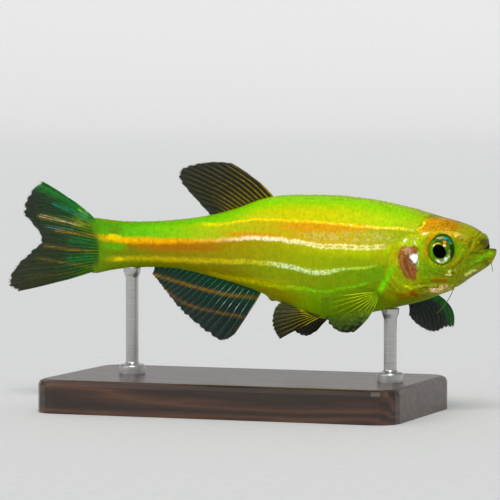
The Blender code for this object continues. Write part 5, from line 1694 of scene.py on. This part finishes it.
# %% Rays of a fin
RAY_STEP = 0.034          # from point to point, as a share of the ray
RAY_SIDES = 6
JOINT_DEPTH = 0.16        # how much thinner a ray is at a joint
RAY_TAPER = 0.78          # and how much thinner at its end
FIRST_RAY = 1.35          # the first ray is this much stouter

ray_finish, *_ = painted_finish("fin ray", "fin_paint", (3, 0.6, 1.4), 0.14, specular=0.15, roughness=0.38,
                                coat_weight=0.1, coat_roughness=0.1)


def branches(start, share, part, forks):
    """One ray as (reach, share) paths: a stem to the next fork, then its two branches."""
    end = forks[0][0] if forks else 1
    reach = np.linspace(start, end, max(3, int((end - start) / RAY_STEP) + 1))
    spread = part * fade(reach, start - 0.001, start + 0.3)
    paths = [(reach, share + spread)]
    if forks:
        for side in (-1, 1):
            paths += branches(end, share + part, side * forks[0][1], forks[1:])
    return paths


SIDES = {"caudal_fin": (-1, 1)}         # the tail's rays are pairs of halves that clasp the flesh


def clasp(x, at_level):
    """How far out a half ray lies: on the flesh, and close to its twin behind it."""
    middle = widest_at(x)
    reach = np.where(at_level > middle, top_at(x) - middle, middle - bottom_at(x))
    side = np.sqrt(np.clip(1 - ((at_level - middle) / reach) ** 2, 0, 1))
    sunk = 0.07 * fade(x, -15.2, -14.3)
    return np.maximum(half_width_at(x) * flesh_share(x) * side ** 0.9 + 0.005 - sunk, 0.03)


def ray_mesh(name, sheet):
    points, edges, thick, lanes, shares, reaches = [], [], [], [], [], []
    spacing = 1 / (sheet.rays - 1)
    for number in range(sheet.rays):
        middle = number * spacing
        outer = number in (0, sheet.rays - 1)
        inward = 1 if number == 0 else -1
        paths = [(path, side) for path in branches(0, 0, 0, sheet.forks) for side in SIDES.get(name, (0,))]
        for (reach, turn_off), side in paths:
            share = middle + spacing * (np.abs(turn_off) * inward if outer else turn_off)
            first = len(points)
            spots = sheet.place(share, reach)
            spots[:, 1] += side * clasp(spots[:, 0], spots[:, 2])
            points += list(spots)
            edges += [(first + i, first + i + 1) for i in range(len(reach) - 1)]
            joints = 1 - JOINT_DEPTH * (np.arange(len(reach)) % 3 == 2)
            taper = (1 - RAY_TAPER * reach ** 0.8) * (0.35 + 0.65 * fade(reach, 0, 0.18))
            stout = FIRST_RAY if number == 0 else 1
            thick += list(sheet.thick * taper * joints * stout)
            lanes += [lanes[-1] + 1 if lanes else 0] * len(reach)
            shares += list(share)
            reaches += list(reach)
    points = np.array(points)
    paint = fin_paint(name, np.array(shares), np.array(reaches), points, "rays")
    numbers = (np.array(thick) * MM, lanes, reaches)
    return rods(name + "_rays", points, edges, numbers, RAY_SIDES, ray_finish, paint)


rays = {name: ray_mesh(name, sheet) for name, sheet in sheets.items()}
print("rays:", sum(len(ray.data.polygons) for ray in rays.values()), "faces")

# %% [markdown]
# ## Eyes
#
# A fish's eye is a flattened ball with a metallic iris, a black pupil that is not quite round and
# a bright crescent below it. One closed glossy ball is enough, as the cornea lies flat on the
# iris of so small an eye. The iris is painted on its points.

# %% Eyeballs
EYE_RADII = (1.4, 0.94, 1.54)     # along, out and up
EYE_TURN = 0.16           # how far the ball leans in for each millimetre forward, as the head does
EYE_OUT = 1.76            # from the middle plane to the ball's middle
PUPIL = (18.44, 0.33, 0.655, 0.56, -50)     # place, level, half length, half height, tilt
EYE_RINGS = 96
EYE_SPOKES = 128
# Place, level, half length, half height, tilt, colour, share
IRIS_AREAS = {
    "iris": [(19.5, 0.5, 0.26, 1, 0, (12, 48), 0.95), (19.12, 0.45, 0.1, 0.6, -14, (58, 98, 8), 0.8),
     (18.5, 1.3, 0.9, 0.2, -6, (58, 84, 8), 0.9), (17.75, 0.3, 0.15, 0.9, 0, (102, 160), 0.95),
     (18, 1.3, 0.3, 0.1, 30, (70, 120, 50), 0.8), (18.51, -0.36, 0.4, 0.1, 4, (136, 154, 50), 0.9)],
}
IRIS_LINES = {
    "arcs": [(0.07, (62, 52), 0.9, [17.95, 1.02, 18.2, 1.17, 18.6, 1.2, 18.75, 1.1]), (0.055,
     (255, 216, 84), 1, [17.9, 0.8, 17.98, 0.92, 18.14, 1.01, 18.42, 1.05]), (0.1, (204, 228, 156), 1,
     [18.12, -0.42, 18.33, -0.56, 18.59, -0.63, 18.86, -0.52, 19.05, -0.33, 19.2, -0.11]), (0.05,
     (146, 152, 84), 0.9, [19.3, 0.45, 19.33, 0.2, 19.24, -0.05]), (0.06, (84, 110), 0.8, [18.1, -0.66,
     18.6, -0.82, 19.1, -0.6])],
}
IRIS_SPOTS = {
    "grey top": [(18.45, 1.5, 0.38, 0.1, 4, (172, 170, 112), 0.9), (18.66, 1.43, 0.1, 0.05, 10,
     (84, 84, 40), 0.8)],
    "teal top": [(18.97, 1.46, 0.28, 0.13, -28, (0, 158, 152), 1), (19.1, 1.33, 0.16, 0.09, -36,
     (0, 66, 96), 0.95), (19.32, 1.14, 0.15, 0.1, -46, (0, 124, 96), 1), (19.42, 1.03, 0.08, 0.07, 0,
     (10, 176, 110), 1), (19.15, 0.98, 0.12, 0.16, 20, (120, 62), 0.9)],
    "glints": [(18.87, 1.14, 0.15, 0.13, 0, (232, 148, 10), 1), (18.9, 0.86, 0.13, 0.1, 10,
     (255, 228, 190), 1), (18.76, 0.72, 0.07, 0.06, 0, (214, 160, 100), 0.9), (17.95, 0.86, 0.07, 0.05, 40,
     (255, 246, 180), 1)],
    "crescent": [(18.33, -0.54, 0.15, 0.08, -20, (255, 255, 250), 1), (18.97, -0.33, 0.16, 0.14, 50,
     (246, 255, 250), 1), (19.08, -0.26, 0.06, 0.08, 0, (176, 240, 214), 0.9),
     (19.22, -0.08, 0.08, 0.07, 0, (224, 214, 166), 0.9)],
}


def eye_paint(x, at_level):
    reach = socket_reach(x, at_level)
    from_pupil = oval_reach(x, at_level, *PUPIL)
    x = x + 0.03 * uneven(x, at_level, 0.22, 11)
    at_level = at_level + 0.03 * uneven(x, at_level, 0.22, 12)
    paint = plain_paint(len(x), (88, 132, 4))
    paint = paint_ovals(paint, x, at_level, IRIS_AREAS, 0.6)
    paint = paint_lines(paint, x, at_level, IRIS_LINES)
    paint = paint_ovals(paint, x, at_level, IRIS_SPOTS, 0.75)
    paint = blend_paint(paint, (50, 80, 0), fade(reach, 0.93, 1))
    return blend_paint(paint, (0, 0, 0), fade(from_pupil, 1.05, 0.97))


eye_finish, *_ = painted_finish("danio eye", "eye_paint", (7, 0.7, 1.3), 0.12, specular=0.03, roughness=0.3,
                                coat_weight=0.03, coat_roughness=0.03)


def eyeball(name, side):
    """A closed ball, finest round its outer pole, painted on its points."""
    tilt = np.linspace(0, 1, EYE_RINGS + 1)[1:-1] ** 1.3 * math.pi
    spoke = np.linspace(0, 2 * math.pi, EYE_SPOKES, endpoint=False)
    tilt, spoke = np.meshgrid(tilt, spoke, indexing="ij")
    points = np.stack((np.sin(tilt) * np.cos(spoke), np.cos(tilt), np.sin(tilt) * np.sin(spoke)), axis=-1)
    points = join((points.reshape(-1, 3), [(0, 1, 0), (0, -1, 0)]))
    points = points * EYE_RADII + (EYE_X, EYE_OUT, EYE_LEVEL)
    points[:, 1] -= EYE_TURN * (points[:, 0] - EYE_X)
    index = np.arange(tilt.size).reshape(tilt.shape)
    outer, inner = index.size, index.size + 1
    faces = list(grid_faces(index, True))
    for i in range(EYE_SPOKES):
        after = (i + 1) % EYE_SPOKES
        faces.append((index[0, i], outer, index[0, after]))
        faces.append((index[-1, after], inner, index[-1, i]))
    thing = new_object(name, placed(points[:, 0], points[:, 1] * side, points[:, 2]), faces, eye_finish)
    face_outwards(thing)
    paint = eye_paint(points[:, 0], points[:, 2])
    colour_layer(thing.data, "eye_paint", paint, 1)
    corners, _ = corner_points(thing.data)
    u = 0.5 + 0.45 * (points[corners, 0] - EYE_X) / EYE_RADII[0]
    v = 0.5 + 0.45 * (points[corners, 2] - EYE_LEVEL) / EYE_RADII[2]
    hidden = points[corners, 1] < EYE_OUT
    write_map(thing.data, np.where(hidden, 0.02, u), np.where(hidden, 0.02, v))
    return thing


eyes = {"eye_right": eyeball("eye_right", -1), "eye_left": eyeball("eye_left", 1)}
print("eyes:", sum(len(eye.data.polygons) for eye in eyes.values()), "faces")

# %% [markdown]
# ## Barbels
#
# Two pairs of thin feelers hang from the upper lip. The tree that made the fins' rays makes these
# soft tapered tubes too.

# %% Barbels
BARBELS = {
    "maxillary_barbel_right": (-1, [(20.96, 2, 0.21), (20.58, 2.55, -0.55), (20.46, 2.75, -1.33),
                                    (20.13, 2.7, -2.13), (19.81, 2.55, -2.76), (19.33, 2.3, -3.62),
                                    (18.72, 2.1, -4.48), (18.02, 1.9, -5.17)]),
    "maxillary_barbel_left": (1, [(20.95, 2, 0), (20.3, 2.6, -0.6), (19.6, 2.85, -1.2), (18.8, 3.05, -1.9),
                                  (17.9, 3.1, -2.7)]),
    "rostral_barbel_right": (-1, [(21.7, 1.4, 0.62), (21.4, 1.65, 0.42), (21.1, 1.85, 0.4),
                                  (20.8, 2.1, 0.45)]),
    "rostral_barbel_left": (1, [(21.7, 1.3, 0.62), (21.8, 1.9, 0.15), (21.85, 1.95, -0.75),
                                (22.05, 1.85, -1.65)]),
}
BARBEL_THICK = (0.06, 0.025)
BARBEL_STEPS = 40
BARBEL_SIDES = 10
barbel_finish, brush, shader, (in_mm, along, level) = new_finish("barbel skin", specular=0.04, roughness=0.4)
shade = brush.ramp(brush.noise(in_mm, 3, 3), [(0.35, tint(112, 122, 0)), (0.65, tint(134, 142, 0))])
shade = brush.mix(brush.fade(level, -2.2, -3.2), shade, tint(90, 100, 10))
# The barbels glow too: painted light, as on the fish.
glow(brush, shader, shade, 0.2)


def barbel(name, side, path):
    spots = even_curve(path)(np.linspace(0, 1, BARBEL_STEPS))
    thick = np.linspace(*BARBEL_THICK, BARBEL_STEPS) * MM
    numbers = (thick, np.zeros(BARBEL_STEPS), np.linspace(0, 1, BARBEL_STEPS))
    edges = [(i, i + 1) for i in range(BARBEL_STEPS - 1)]
    return rods(name, spots * (1, side, 1), edges, numbers, BARBEL_SIDES, barbel_finish)


barbels = {name: barbel(name, side, path) for name, (side, path) in BARBELS.items()}
print("barbels:", ", ".join(barbels))

# %% [markdown]
# ## Display stand
#
# The fish swims free in the photo, so the stand is plain and low: an oiled wood base and two satin
# steel rods. The base keeps its solid. Its grain is a stretched noise that bends rings of early
# and late wood. The rods are turned from outlines, as on a lathe: foot, shaft, and a cup.

# %% Wood finish on the base
wood, brush, shader, (in_mm, _, _) = new_finish("stand wood", roughness=0.38, coat_weight=0.25,
                                                coat_roughness=0.2)
along_grain = brush.vector(in_mm, (0.07, 1, 1))
bend = brush.times(brush.noise(along_grain, 0.35, 3), 9)
parts = brush.add("ShaderNodeSeparateXYZ", {0: along_grain}).outputs
rings = brush.sum("PINGPONG", brush.plus(brush.plus(parts[1], bend), parts[2]), 1)
fine = brush.noise(along_grain, 5, 4, 0.6)
grain = brush.plus(brush.times(rings, 0.6), brush.times(fine, 0.5))
shade = brush.ramp(grain, [(0.15, tint(92, 58, 36)), (0.45, tint(66, 40, 25)), (0.8, tint(40, 23, 14))])
brush.feed(shader.inputs["Base Color"], shade)
brush.bumps(shader, fine, 0.35, 0.00006)
base = bpy.data.objects["stand_base"]
base.data.materials.clear()
base.data.materials.append(wood)
print("base finished in", wood.name)

# %% Steel rods
steel, brush, shader, (in_mm, _, _) = new_finish("stand steel", metallic=1, roughness=0.32)
marks = brush.noise(brush.vector(in_mm, (0.4, 0.4, 14)), 1, 3)
shade = brush.ramp(marks, [(0.3, tint(184, 184, 182)), (0.7, tint(204, 204, 200))])
brush.feed(shader.inputs["Base Color"], shade)
rough = brush.make("ShaderNodeMapRange", {"Value": marks, "To Min": 0.3, "To Max": 0.38})
brush.feed(shader.inputs["Roughness"], rough)
BASE_TOP = 3              # the base's upper face
ROD_RADIUS = 0.58
FOOT_RADIUS = 1.2
CUP_RADIUS = 0.78
TURN_STEPS = 64


def turned(name, outline, finish, centre, sharp):
    """A shape turned from (radius, height) points; edges over sharp degrees stay sharp."""
    angles = np.linspace(0, 2 * math.pi, TURN_STEPS, endpoint=False)
    points = [(centre[0] + radius * math.cos(a), centre[1] + radius * math.sin(a), height)
              for radius, height in outline for a in angles]
    index = np.arange(len(points)).reshape(-1, TURN_STEPS)
    faces = list(grid_faces(index, True)) + [index[0]]
    if outline[-1][0] < ROD_RADIUS:
        faces.append(index[-1])
    thing = new_object(name, points, faces, finish)
    face_outwards(thing)
    thing.data.set_sharp_from_angle(angle=math.radians(sharp))
    return thing


def rod(name):
    low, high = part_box(name)
    centre = [(a + b) / 2 / MM for a, b in zip(low, high)]
    top = AXIS_HEIGHT + float(bottom_at(centre[0] - FISH_ALONG)) + 0.06
    outline = [(0.1, BASE_TOP - 0.3), (FOOT_RADIUS, BASE_TOP - 0.3), (FOOT_RADIUS, BASE_TOP + 0.6)]
    for angle in np.linspace(0.2, 1, 5) * math.pi / 2:
        outline.append((FOOT_RADIUS - 0.25 * (1 - math.cos(angle)), BASE_TOP + 0.6 + 0.25 * math.sin(angle)))
    for angle in np.linspace(0, 1, 6) * math.pi / 2:
        outline.append((ROD_RADIUS + 0.25 * (1 - math.sin(angle)),
                        BASE_TOP + 0.85 + 0.3 * (1 - math.cos(angle))))
    for share in np.linspace(0.1, 1, 6):
        outline.append((ROD_RADIUS, BASE_TOP + 1.2 + share * (top - BASE_TOP - 2.3)))
    for t in np.linspace(0.2, 1, 6):
        outline.append((ROD_RADIUS + (CUP_RADIUS - ROD_RADIUS) * fade(t, 0, 1), top - 1.1 + 0.75 * t))
    outline += [(CUP_RADIUS + 0.03, top - 0.1), (CUP_RADIUS - 0.05, top), (0.4, top - 0.06), (0.1, top - 0.1)]
    return turned(name + "_turned", outline, steel, centre, 40)


rods_of_stand = {name: rod(name) for name in ("stand_rod_rear", "stand_rod_front")}
print("rods reach up to", rounded(read_points(piece.data)[:, 2].max() for piece in rods_of_stand.values()))

# %% [markdown]
# ## The pale sweep
#
# The floor is one round sheet whose rim turns up far from the fish, like a photographer's paper
# sweep, so no view meets an edge or a horizon.

# %% Floor
SWEEP_RADIUS = 1300
SWEEP_BEND = 300
outline = [(2, 0), (60, 0), (200, 0), (600, 0), (SWEEP_RADIUS, 0)]
outline += [(SWEEP_RADIUS + SWEEP_BEND * math.sin(a), SWEEP_BEND * (1 - math.cos(a)))
            for a in np.linspace(0.15, math.pi / 2, 10)]
paper, brush, shader, (in_mm, _, _) = new_finish("pale paper", roughness=0.85)
shade = brush.ramp(brush.noise(in_mm, 0.8, 4), [(0.3, (0.76, 0.77, 0.77, 1)), (0.7, (0.8, 0.8, 0.79, 1))])
brush.feed(shader.inputs["Base Color"], shade)
sweep = turned("pale_sweep", [(radius, height - 0.02) for radius, height in outline], paper, (0, 0), 60)
sweep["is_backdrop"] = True
print("sweep", SWEEP_RADIUS + SWEEP_BEND, "mm in radius")

# %% [markdown]
# ## Who rides, who replaces
#
# The model has no joints, so every piece rides on the one body, root. Each dressed piece stands
# for the solid of the same name, and the skin for all the solids of the flesh.

# %% Bodies and solids
FLESH = ("head", "lower_jaw", "gill_cover_right", "gill_cover_left", "trunk", "tail_stem")
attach(skin, "root")
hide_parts(*FLESH)
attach(scales, "root")
for name, film in films.items():
    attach(film, "root")
    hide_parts(name)
    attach(rays[name], "root")
for pieces, slot in ((eyes, "eye"), (barbels, "head_skin"), (rods_of_stand, "stand_steel")):
    for name, piece in pieces.items():
        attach(piece, "root")
        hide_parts(name)

# %% Sizes, and the end
dressed_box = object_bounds()
print("dressed from", rounded(dressed_box[0]), "to", rounded(dressed_box[1]))
